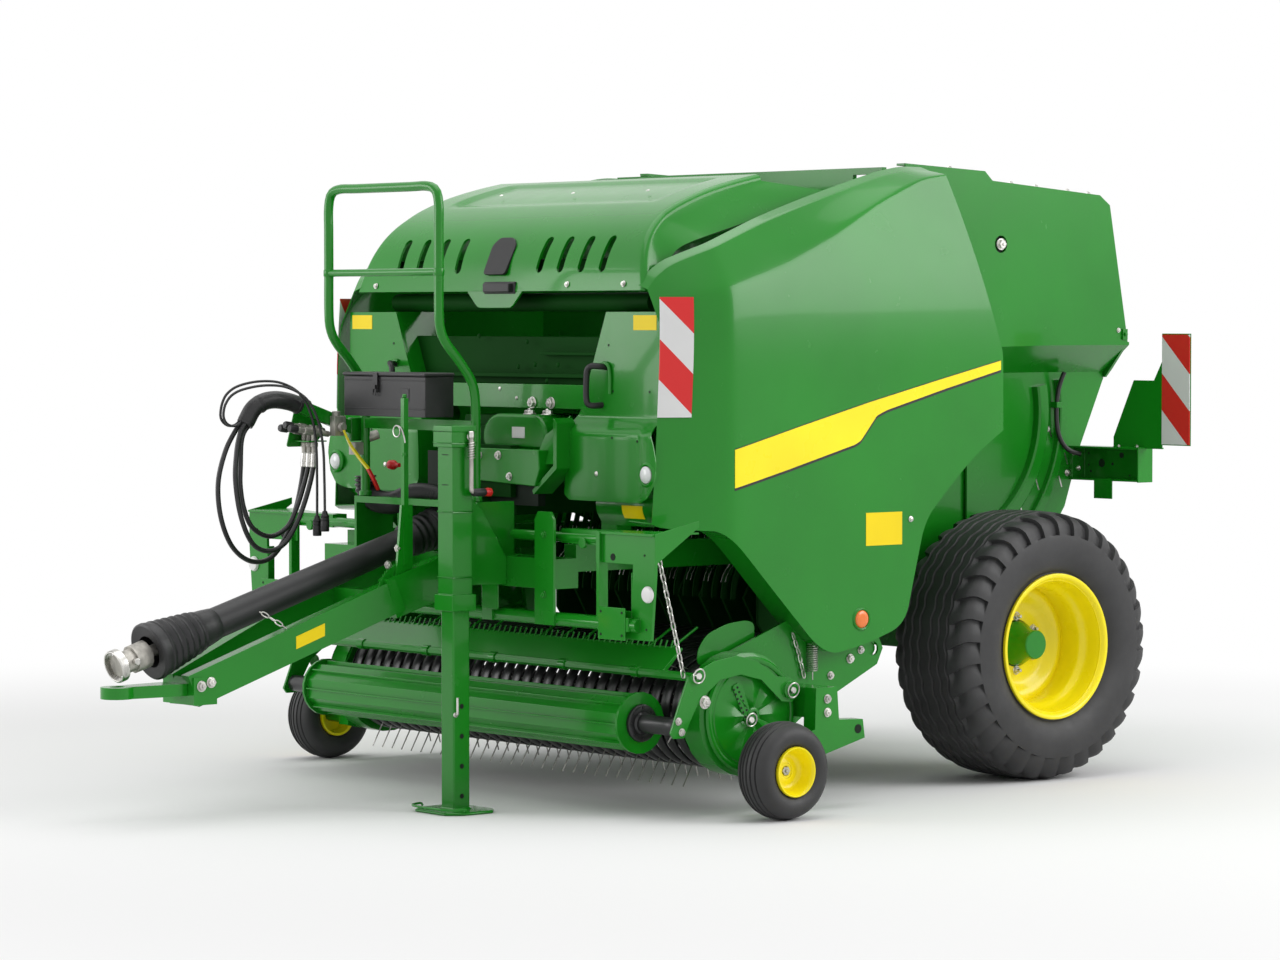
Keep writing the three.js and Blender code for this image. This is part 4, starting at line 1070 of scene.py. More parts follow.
@dataclass
class SideDoor:
    """A large side door: a pressed skin with a folded front strip, a chamfer under its top edge and a
    return flange, dressed with its stripe, warning board, lamps and blank stickers."""

    lower: tuple[tuple[float, float], ...] = (
        (-1.935, 1.060), (-1.900, 1.045), (-1.800, 1.037), (-1.688, 1.030), (-1.450, 0.790), (-1.208, 0.550),
        (-1.000, 0.585), (-0.797, 0.650), (-0.745, 0.850), (-0.693, 1.042), (-0.560, 1.170), (-0.420, 1.290),
        (-0.277, 1.377),
    )
    upper: tuple[tuple[float, float], ...] = (
        (-1.893, 1.915), (-1.862, 1.962), (-1.815, 2.003), (-1.740, 2.037), (-1.590, 2.095), (-1.410, 2.163),
        (-1.270, 2.208), (-1.130, 2.250), (-1.000, 2.286), (-0.880, 2.319), (-0.740, 2.355), (-0.620, 2.376),
        (-0.505, 2.376),
    )
    face: float = 1.122
    fold: float = -1.665
    fold_slope: tuple[float, float] = (0.140, 0.27)
    lean: float = 0.16
    lean_start: float = 1.6
    flange: float = 0.13
    chamfer: float = 0.08
    chamfer_starts: tuple[float, float] = (0.83, 0.985)
    sheet: float = 0.004
    screw: tuple[float, float] = (-0.770, 1.049)
    sticker: tuple[float, float, float, float] = (-1.001, -0.815, 0.955, 1.079)
    lamp: tuple[float, float] = (-1.023, 0.681)

    def across(self, y: Points, z: Points) -> Points:
        """How far out the skin is: its face, less the front strip's slope and the lean of the upper part,
        which grows with the square of the height."""
        inward, length = self.fold_slope
        strip = inward * soft_ramp(self.fold - y, 0.028) / length
        return self.face - strip - self.lean * np.maximum(0.0, z - self.lean_start) ** 2

    def skin(self) -> Form:
        """Columns run between the lower and the upper edge; rows start in the flange and end in the chamfer
        and a narrow shelf."""
        low, high = spread(self.lower, 12, 9), spread(self.upper, 12, 9)
        rows = np.concatenate([np.linspace(0, 0.78, 34), np.linspace(0.795, 0.96, 22),
                               np.linspace(0.965, 1, 14)])
        along = np.linspace(0, 1, len(low))[None]
        level = rows[:, None]
        y = low[None, :, 0] + (high - low)[None, :, 0] * level
        z = low[None, :, 1] + (high - low)[None, :, 1] * level
        y = y + 0.066 * along**8 * np.minimum(level / 0.30, (1 - level) / 0.70)
        front_start, rear_start = self.chamfer_starts
        start = front_start + (rear_start - front_start) * along
        chamfer = self.chamfer * soft_ramp((level - start) / (1 - start), 0.12)
        main = np.stack([self.across(y, z) - chamfer, y, z], axis=-1)
        inward = np.array([1.0, 0.72, 0.42, 0.16, 0.03])[:, None, None] * self.flange
        fold = main[:1] + inward * [-1.0, 0.0, 0.05]
        shelf = main[-1:] + np.array([0.012, 0.032, 0.046, 0.050])[:, None, None] * [-1.0, 0.0, 0.32]
        sheet = np.concatenate([fold, main, shelf])
        return slab(sheet, -self.sheet * normals(sheet, (1, 0, 0)))

    def film(self, y: Points, z: Points, lift: float, uv: Points | None = None) -> Form:
        """A thin film laid on the skin where y and z say."""
        grid = np.stack([self.across(y, z) + lift, y, z], axis=-1)
        return slab(grid, (-0.003, 0, 0), uv)

    def patch(self, y0: float, y1: float, z0: float, z1: float, lift: float = 0.0012) -> Form:
        """An upright film between two heights."""
        y, z = np.meshgrid(np.linspace(y0, y1, 9), np.linspace(z0, z1, 9))
        return self.film(y, z, lift)

    def stripe(self) -> tuple[Form, Form]:
        """The stripe narrows in a step behind its broad front end; a thin dark line borders it."""
        y = np.linspace(-1.652, -0.292, 160)
        top = np.interp(y, [-1.665, -1.336, -0.982, -0.617, -0.264], [1.326, 1.409, 1.495, 1.576, 1.652])
        low = np.interp(
            y,
            [-1.665, -1.385, -1.058, -1.030, -0.985, -0.946, -0.894, -0.591, -0.264],
            [1.185, 1.253, 1.337, 1.350, 1.400, 1.444, 1.464, 1.540, 1.617],
        )
        share = np.linspace(0, 1, 7)[:, None]

        def band(bottom: Points, above: Points, lift: float) -> Form:
            """The film between two lines."""
            return self.film(y + 0 * share, bottom + (above - bottom) * share, lift)

        return band(low, top, 0.0014), band(low - 0.0095, top + 0.0032, 0.0008)

    def board(self) -> Form:
        """The warning board on the front strip; its UV is the distance from its front lower corner."""
        z, step = np.meshgrid(np.linspace(1.449, 1.887, 30), np.linspace(0.0, 0.112, 10), indexing="ij")
        front = np.interp(z, [1.06, 1.93], [-1.935, -1.905]) + 0.004
        return self.film(front + step, z, 0.0045, np.stack([step * 1.12, z - 1.449], axis=-1))

    def depth_at(self, y: float, z: float) -> float:
        """How far out the skin is at one point."""
        return float(self.across(np.array(y), np.array(z)))

    def round_lens(self, y: float, z: float, radius: float, proud: float) -> tuple[Form, Form]:
        """A domed lens and the dished ring round it, square to the skin."""
        step = 0.01
        slope = (self.depth_at(y + step, z) - self.depth_at(y - step, z)) / (2 * step)
        pose = facing((self.depth_at(y, z), y, z), (1, -slope, 0)) @ Matrix.Rotation(-math.pi / 2, 4, "Y")
        t = np.linspace(0, np.pi / 2, 7)
        dome = [(-0.004, AXIS), (-0.004, radius)]
        dome += [(proud * math.sin(a), radius * math.cos(a) ** 0.6 + AXIS) for a in t]
        ring = [(-0.003, radius * 1.02), (0.004, radius * 1.03), (0.006, radius * 1.14),
                (0.003, radius * 1.30), (-0.003, radius * 1.36)]
        lens = revolved(dome, (0, 0, 0), "x", 40, False)
        return lens.posed(pose), revolved(ring, (0, 0, 0), "x", 40).posed(pose)

    def build(self) -> None:
        """Both doors and what is on them."""
        yellow, line = self.stripe()
        lamp, lamp_ring = self.round_lens(*self.lamp, 0.034, 0.010)
        y, z = self.screw
        screw = bolt((self.depth_at(y, z) + 0.001, y, z), (1, 0, 0), 0.008)
        for side, sign in SIDES:
            body = f"side_door_{side}"
            parts = (
                ("skin", self.skin(), GREEN, 0.006, [body]),
                ("stripe", yellow, YELLOW, 0.0, []),
                ("stripe_border", line, BLACK, 0.0, []),
                ("warning_board", self.board(), FILM, 0.0, []),
                ("side_lamp", lamp, AMBER, 0.0, []),
                ("lamp_ring", lamp_ring, GREEN, 0.0, []),
                ("blank_sticker", self.patch(*self.sticker), LABEL, 0.0, []),
                ("screws", screw, ZINC, 0.0, []),
            )
            for name, form, finish, edge, replaced in parts:
                made = make(f"{body}_{name}", handed(form, sign), finish, body, replaces=replaced, angle=50.0)
                if edge:
                    smooth(made.data, 180)
                    soften(made, edge, 3, 50.0)

@dataclass
class FrontHood:
    """The front hood: a curved panel that folds down at its sides, with slots, a blank plate and a grip."""

    half: float = 0.888
    foot_half: float = 0.874
    corner: float = 0.026
    sheet: float = 0.010
    sunk: float = 0.012
    sunk_half: float = 0.70
    sunk_y: tuple[float, float] = (-1.625, -1.300)
    profile: tuple[tuple[float, float], ...] = (
        (-1.895, 1.912), (-1.886, 1.955), (-1.872, 2.010), (-1.852, 2.062), (-1.822, 2.112), (-1.786, 2.152),
        (-1.745, 2.185), (-1.700, 2.213), (-1.640, 2.243), (-1.530, 2.285), (-1.430, 2.313), (-1.340, 2.334),
        (-1.249, 2.352),
    )
    skirt: tuple[tuple[float, float], ...] = (
        (-1.868, 1.906), (-1.835, 1.925), (-1.806, 1.942), (-1.783, 1.982), (-1.753, 2.036), (-1.712, 2.072),
        (-1.630, 2.100), (-1.547, 2.123), (-1.440, 2.152), (-1.344, 2.179), (-1.210, 2.222), (-1.090, 2.262),
        (-0.978, 2.292),
    )
    slots: tuple[float, ...] = (0.255, 0.379, 0.503, 0.627)

    def panel(self) -> Form:
        """Rows follow the side view and draw in as they rise; columns go up one skirt, round its corner,
        across and down the other skirt."""
        top, low = spread(self.profile, 5, 5), spread(self.skirt, 5, 5)
        ahead = np.gradient(top, axis=0)
        out = np.stack([-ahead[:, 1], ahead[:, 0]], axis=-1) / np.linalg.norm(ahead, axis=1)[:, None]
        turn = np.linspace(0, np.pi / 2, 6)
        inset = self.corner * (1 - np.sin(turn))
        corner_x = self.half - self.corner + self.corner * np.cos(turn)
        edge = top - out * self.corner
        rise = np.linspace(0, 1, 6)[:-1]
        skirt = low[:, None] + (edge - low)[:, None] * rise[None, :, None]
        bend = top[:, None] - out[:, None] * inset[None, :, None]
        flat_x = np.linspace(self.half - self.corner, 0, 28)[1:]
        front, rear = self.sunk_y
        sink = self.sunk * np.clip((self.sunk_half - flat_x) / 0.02, 0, 1)[None] * (
            np.clip((top[:, 0] - front) / 0.03, 0, 1) * np.clip((rear - top[:, 0]) / 0.03, 0, 1)
        )[:, None]
        flat = top[:, None] - out[:, None] * sink[..., None]
        taper = 1 - 0.098 * np.clip((top[:, 1] - 1.93) / 0.27, 0, 1)[:, None]
        upright = self.foot_half + (self.half * taper - self.foot_half) * rise[None]
        x = np.concatenate([upright, corner_x[None] * taper, flat_x[None] * taper], axis=1)
        half_grid = np.concatenate([skirt, bend, flat], axis=1)
        right = np.concatenate([x[..., None], half_grid], axis=-1)
        left = right[:, -2::-1] * [-1.0, 1.0, 1.0]
        sheet = np.concatenate([right, left], axis=1)
        return slab(sheet, -self.sheet * normals(sheet, (0, -0.5, 0.9)))

    def cutters(self) -> list[Form]:
        """Slots with round ends, each leaning a little outward."""
        base = prism(pill(0.150, 0.040), "z", -0.09, 0.05)
        made = []
        for x in self.slots:
            for sign in (1, -1):
                lean = Matrix.Rotation(-sign * math.radians(3), 4, "Z")
                made.append(base.posed(facing((sign * x, -1.850, 2.050), (0, -0.88, 0.47)) @ lean))
        return made

    def build(self) -> None:
        """The panel, its slots, the tab, the plate, the grip and the screws."""
        panel = make("front_hood_panel", self.panel(), GREEN, "front_hood", replaces=["front_hood"], angle=40)
        pierce(panel, self.cutters())
        panel.data.materials.clear()
        panel.data.materials.append(GREEN.material())
        smooth(panel.data, 180)
        soften(panel, 0.003, 2, 40.0)
        tab = bent([(-0.185, 1.925), (0.185, 1.925), (0.105, 1.848), (-0.105, 1.848)], 0.02)
        make("front_hood_tab", prism(tab, "y", -1.893, -1.883), GREEN, "front_hood", 0.002)
        plate = bent([(-0.066, -0.078), (0.066, -0.078), (0.072, 0.045), (0.040, 0.078), (-0.040, 0.078),
                      (-0.072, 0.045)], 0.016)
        face = facing((0.0, -1.8605, 2.046), (0, -0.90, 0.43))
        make("front_hood_plate", prism(plate, "z", -0.006, 0.004).posed(face), PLASTIC, "front_hood", 0.0015)
        grip = joined([
            swept(np.array([(-0.045, -1.905, 1.925), (0.115, -1.905, 1.925)]), rectangle(0.022, 0.034)),
            block(-0.060, 0.130, -1.898, -1.884, 1.902, 1.948),
        ])
        make("front_hood_grip", grip, PLASTIC, "front_hood", 0.004)
        low = [bolt((x, -1.892, 1.936), (0, -0.97, 0.24), 0.008) for x in (-0.76, -0.36, 0.44, 0.77)]
        flat = [button((x, -1.505, 2.293), (0, -0.31, 0.95), 0.008) for x in (-0.45, 0.0, 0.45)]
        make("front_hood_screws", low + flat, ZINC, "front_hood")

# ---------- pickup ----------
def ring_pin(place: Place, radius: float = 0.024) -> Form:
    """A linch pin seen from the side: a pin head with a round wire ring through it."""
    x, y, z = place
    t = np.linspace(0, 2 * np.pi, 25)
    ring = np.stack([x + 0.012 + 0.004 * np.sin(t), y + radius * np.cos(t), z + radius * np.sin(t)], axis=-1)
    head = disc((x - 0.002, y, z), (x + 0.016, y, z), 0.013, 20, 0.003)
    return joined([pipe(ring, 0.0032, 8), head])

@dataclass
class Pickup:
    """The pickup: curved bands with spring tines between them, side domes, their pins and the gauge arms."""

    reel: tuple[float, float] = (-1.620, 0.360)
    band_reach: float = 0.210
    band_ends: tuple[float, float] = (-0.992, 0.992)
    bands: int = 32
    bar_reach: float = 0.140
    tine: float = 0.0028
    tine_leans: tuple[tuple[float, float, float], ...] = (
        (90.0, 166.0, 0.17), (162.0, 238.0, 0.17), (234.0, 246.0, 0.17), (306.0, 290.0, 0.17),
        (18.0, 94.0, 0.17),
    )
    dome_face: float = 1.1702

    def on_circle(self, degrees: float, reach: float) -> tuple[float, float]:
        """The y and z of a point round the reel, measured from the rear over the top."""
        angle = math.radians(degrees)
        return self.reel[0] + reach * math.cos(angle), self.reel[1] + reach * math.sin(angle)

    def band_form(self) -> Form:
        """Channel strips over the reel's front: a straight run from the rear, then most of a half circle."""
        turn = np.radians(np.linspace(90, 262, 26))
        arc = np.stack(
            [0 * turn, self.reel[0] + self.band_reach * np.cos(turn),
             self.reel[1] + self.band_reach * np.sin(turn)],
            axis=-1,
        )
        run = np.linspace([0, -1.128, 0.610], arc[0], 5)[:-1]
        route = np.concatenate([run, arc])
        section = np.array([
            (-0.010, -0.0235), (-0.002, -0.0235), (0.0, -0.0200), (0.001, 0.0), (0.0, 0.0200),
            (-0.002, 0.0235), (-0.010, 0.0235), (-0.010, 0.0215), (-0.004, 0.0200), (-0.004, -0.0200),
            (-0.010, -0.0215),
        ])
        strip = swept(route, section, upward=(1, 0, 0))
        places = np.linspace(*self.band_ends, self.bands)
        walls = [prism(self.side_cheek(), "x", x, x + 0.004) for x in (-1.033, 1.029)]
        return joined([strip.moved(x) for x in places] + walls)

    def side_cheek(self) -> list[tuple[float, float]]:
        """The outline of the thin cheek that closes the bands at each end."""
        rim = [self.on_circle(a, self.band_reach - 0.006) for a in range(96, 268, 8)]
        inner = [self.on_circle(a, self.band_reach - 0.030) for a in range(264, 92, -8)]
        return rim + inner

    def tines(self) -> Form:
        """A tine in every gap on each of the five bars: two coils round the bar, then a straight leg."""
        gaps = np.linspace(*self.band_ends, self.bands)
        middles = (gaps[:-1] + gaps[1:]) / 2
        forms = []
        for at, lean, length in self.tine_leans:
            y, z = self.on_circle(at, self.bar_reach)
            way = np.array([0.0, math.cos(math.radians(lean)), math.sin(math.radians(lean))])
            square = np.array([0.0, -way[2], way[1]])
            t = np.linspace(0, 2, 17)
            coil = np.stack([0.011 * (t - 2), 0 * t, 0 * t], axis=-1) + 0.019 * (
                np.cos(2 * np.pi * t)[:, None] * square + np.sin(2 * np.pi * t)[:, None] * -way
            )
            start = np.array([0.0, y, z])
            leg = np.linspace(0.02, length, 4)[:, None] * way + 0.019 * square * [[1.0], [0.8], [0.55], [0.3]]
            one = pipe(np.concatenate([coil, leg]) + start, self.tine, 5)
            forms += [one.moved(float(x)) for x in middles]
        return joined(forms)

    def star(self) -> Form:
        """The embossed star on a side dome: height falls from the centre and swings eight times round it."""
        radius = np.linspace(1e-5, 0.186, 22)[:, None]
        turn = np.linspace(0, 2 * np.pi, 128, endpoint=False)[None]
        share = radius / 0.186
        wave = np.abs(((turn * 8 / (2 * np.pi)) % 1) * 2 - 1)
        bulge = np.clip(np.minimum(share / 0.25, (1 - share) / 0.5), 0, 1)
        height = 0.002 + 0.015 * bulge * (0.25 + 0.75 * wave) * (1 - 0.35 * share)
        height[-1] = -0.003
        grid = np.stack(
            [self.dome_face + height, self.reel[0] + radius * np.cos(turn),
             self.reel[1] + radius * np.sin(turn)],
            axis=-1,
        )
        back = grid[-1:].copy()
        back[..., 1:] = np.array(self.reel)
        return lattice(np.concatenate([grid, back]), False, True)

    def build(self) -> None:
        """Bands and tines, the plates, pins and shields of both sides, then arms and hangers."""
        make("pickup_band_strips", self.band_form(), BLACK, "pickup", replaces=["pickup_bands"])
        refine("pickup_reel", BLACK, "pickup_reel", 0.0)
        make("pickup_spring_tines", self.tines(), WIRE, "pickup_reel")
        refine("pickup_frame", GREEN, "pickup", 0.0035)
        make("pickup_dome_stars_left", self.star(), GREEN, "pickup", angle=25)
        make("pickup_dome_stars_right", self.star().mirrored(), GREEN, "pickup", angle=25)
        lip = revolved(
            [(1.166, 0.190), (1.172, 0.191), (1.175, 0.197), (1.174, 0.207), (1.166, 0.214)],
            (0, *self.reel), "x", 96,
        )
        hub = revolved(
            [(1.172, AXIS), (1.172, 0.030), (1.186, 0.029), (1.188, 0.026), (1.188, 0.016), (1.183, 0.015),
             (1.183, AXIS)], (0, *self.reel), "x", 32, False,
        )
        make("pickup_dome_rims", both([lip, hub]), GREEN, "pickup")
        outline = [(-1.722, 0.470), (-1.686, 0.486), (-1.622, 0.352), (-1.658, 0.336)]
        link = prism(bent(outline, 0.012), "x", 1.177, 1.184)
        # Painted shade: dark discs stand for the shadow inside the link plates' holes.
        holes = [
            disc((1.1835, y + dy, z + dz), (1.1848, y + dy, z + dz), 0.0045, 12)
            for y, z in np.linspace((-1.706, 0.462), (-1.652, 0.360), 7)
            for dy, dz in ((-0.008, -0.004), (0.009, 0.004))
        ]
        make("pickup_link_plates", both([link]), GREEN, "pickup", 0.001)
        make("pickup_link_holes", both(holes), HOLE_SHADE, "pickup")
        pins = [ring_pin((1.186, -1.640, 0.345))]
        bolts = [bolt((1.0555, y, z), (1, 0, 0), s) for y, z, s in (
            (-1.245, 0.418, 0.014), (-1.305, 0.360, 0.013), (-1.205, 0.345, 0.013), (-1.02, 0.528, 0.013),
            (-0.965, 0.558, 0.011), (-1.12, 0.47, 0.011))]
        make("pickup_pins_and_bolts", both(pins + bolts), ZINC, "pickup")
        self.build_shields()
        self.build_gauge_arms()
        self.build_hangers()

    def build_shields(self) -> None:
        """The curved shield above each side's end of the bands, and the slanting strip on it."""
        shield = bent([(-1.600, 0.520), (-1.752, 0.540), (-1.745, 0.600), (-1.700, 0.652), (-1.600, 0.686),
                       (-1.510, 0.694), (-1.470, 0.682), (-1.470, 0.600)], 0.03)
        strip = [(-1.455, 0.634), (-1.578, 0.523), (-1.519, 0.513), (-1.409, 0.614)]
        sides = [prism(shield, "x", 1.016, 1.020), prism(bent(strip, 0.004), "x", 1.021, 1.027)]
        make("crop_shields", both(sides), GREEN, "pickup", 0.001)

    def build_gauge_arms(self) -> None:
        """The gauge wheel arms, the painted shade in the bores of their ends and the axle nuts."""
        for side, _ in SIDES:
            refine(f"gauge_arm_{side}", GREEN, "pickup", 0.004)
        nuts = bolts_facing((1, 0, 0), (
            (1.4052, -1.668, 0.1785, 0.016), (1.2785, -1.34, 0.41, 0.012), (1.2785, -1.34, 0.36, 0.012)))
        # Painted shade: a dark disc stands for the shadow inside each arm's bore.
        bores = [disc((1.2775, -1.185, 0.290), (1.2790, -1.185, 0.290), 0.017, 24)]
        make("gauge_axle_nuts", both(nuts), ZINC, "pickup")
        make("gauge_arm_bores", both(bores), HOLE_SHADE, "pickup")

    def build_hangers(self) -> None:
        """Chains and balance springs between the chassis and the pickup; they bend with the lift."""
        for side, sign in SIDES:
            front = chain([(1.150, -2.066, 1.036), (1.150, -2.030, 0.90), (1.150, -1.975, 0.70),
                           (1.150, -1.925, 0.512)],
                          0.030, 0.0030)
            rear = chain([(1.066, -1.322, 0.640), (1.066, -1.290, 0.56), (1.066, -1.262, 0.470)], 0.028,
                         0.0028)
            coil = joined([
                spring((1.072, -1.226, 0.660), (1.072, -1.226, 0.492), 0.019, 0.0028, 20),
                pipe([(1.072, -1.226, 0.49), (1.072, -1.226, 0.46)], 0.003, 6),
            ])
            for name, form, top, low in (
                ("front_chain", front, 1.036, 0.512), ("rear_chain", rear, 0.640, 0.470),
                ("balance_spring", coil, 0.650, 0.470),
            ):
                piece = make(f"{name}_{side}", handed(form, sign), ZINC, "")
                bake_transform(piece, "chassis", "pickup", start=(0, 0, top), end=(0, 0, low))

@dataclass
class CropGuard:
    """The hinged crop guard: its arms, the raking tube with comb and rods, and the roller ahead of it."""

    roller: tuple[float, float] = (-1.987, 0.339)
    rake: tuple[float, float] = (-1.895, 0.513)
    rods: int = 14

    def build(self) -> None:
        """Arms and tube, then roller."""
        refine("crop_guard", GREEN, "crop_guard", 0.003)
        y, z = self.rake
        rods = [
            pipe([(x, y + 0.004, z + 0.012), (x, y + 0.07, z + 0.066), (x, y + 0.225, z + 0.156)],
                 0.0052, 8, 8)
            for s in (-1, 1) for x in s * (0.160 + 0.128 * np.arange(self.rods // 2))
        ]
        teeth = [
            pipe([(x, -1.812, 0.600), (x, -1.800, 0.628)], 0.0035, 6) for x in 0.032 * (np.arange(62) - 30.5)
        ]
        make("guard_rods", rods + teeth, GREEN, "crop_guard")
        clamps = [disc((x - 0.02, y, z), (x + 0.02, y, z), 0.0215, 20, 0.002)
                  for x in np.linspace(-0.85, 0.85, 5)]
        make("guard_tube_collars", clamps, GREEN, "crop_guard")
        pins = [ring_pin((1.2075, -1.912, 0.521), 0.026)]
        bolts = [bolt((1.2075, yy, zz), (1, 0, 0), s) for yy, zz, s in (
            (-1.876, 0.424, 0.017), (-2.000, 0.362, 0.010), (-1.984, 0.322, 0.010))]
        pivot = [ring_pin((1.2145, -1.460, 0.445), 0.027)]
        heads = [button((x, -1.852, 0.560), (0, -0.75, 0.66), 0.008) for x in (-0.5, 0.0, 0.62, 0.93)]
        make("guard_pins_and_bolts", joined(both(pins + bolts + pivot) + heads), ZINC, "crop_guard")
        self.build_roller()

    def build_roller(self) -> None:
        """An eight-sided drum with folded edges, and at each end a black bearing and a black stub shaft."""
        y, z = self.roller
        refine("crop_roller", GREEN, "crop_roller", 0.003)
        folds = []
        for k in range(8):
            angle = 2 * math.pi * k / 8
            turn = Matrix.Translation((0, y, z)) @ Matrix.Rotation(angle, 4, "X")
            folds.append(block(-0.966, 0.966, 0.092, 0.106, -0.003, 0.003).posed(turn))
        make("roller_folded_edges", folds, GREEN, "crop_roller", 0.0015)
        bearing = revolved(
            [(0.981, 0.030), (0.981, 0.068), (0.986, 0.070), (0.994, 0.068), (0.998, 0.060), (0.996, 0.042),
             (1.004, 0.036), (1.004, 0.030)], (0, y, z), "x", 48,
        )
        studs = [
            disc((0.99, y + 0.058 * math.cos(a), z + 0.058 * math.sin(a)),
                 (1.002, y + 0.058 * math.cos(a), z + 0.058 * math.sin(a)), 0.006, 8, 0.001)
            for a in np.linspace(0, 2 * np.pi, 8, endpoint=False)
        ]
        make("roller_bearings", both([bearing] + studs), BLACK, "crop_roller")
        shaft = revolved(
            [(1.006, 0.0245), (1.006, 0.036), (1.012, 0.037), (1.020, 0.034), (1.150, 0.033), (1.190, 0.0325),
             (1.1935, 0.030), (1.1935, 0.0245)], (0, y, z), "x", 40,
        )
        make("roller_stub_shafts", both([shaft]), BLACK, "crop_guard")

@dataclass
class Intake:
    """The dark throat behind the pickup: the trough, the rotor, stripper blades and their bright wires."""

    blades: int = 22

    def build(self) -> None:
        """Trough and rotor in shadowed paint, then blades and wires."""
        # Painted shade: the trough, the rotor and the stripper blades take the darkened green that stands for
        # the shade in the throat.
        refine("intake_trough", SHADED, "chassis", 0.002)
        refine("feed_rotor", SHADED, "feed_rotor", 0.0)
        z = np.linspace(1.075, 0.735, 14)
        y = -1.092 - 0.105 * np.sin(np.clip((1.06 - z) / 0.32, 0, 1) * np.pi / 2) ** 2
        route = np.stack([0 * z, y, z], axis=-1)
        section = np.array([(-0.012, -0.0025), (0.012, -0.0025), (0.012, 0.0025), (-0.012, 0.0025)])
        blade = swept(route, section, upward=(1, 0, 0))
        places = np.linspace(-0.588, 0.588, self.blades)
        make("stripper_blades", joined(blade.moved(float(x)) for x in places), SHADED, "chassis")
        wires = []
        for x in np.linspace(-0.56, 0.56, 12):
            for step in (-0.012, 0.012):
                wires.append(pipe(
                    [(x + step, -1.125, 0.975), (x + step, -1.150, 0.90), (x + step, -1.205, 0.84),
                     (x + step, -1.222, 0.80)], 0.0022, 5, 9))
        make("stripper_wires", wires, WIRE, "chassis")

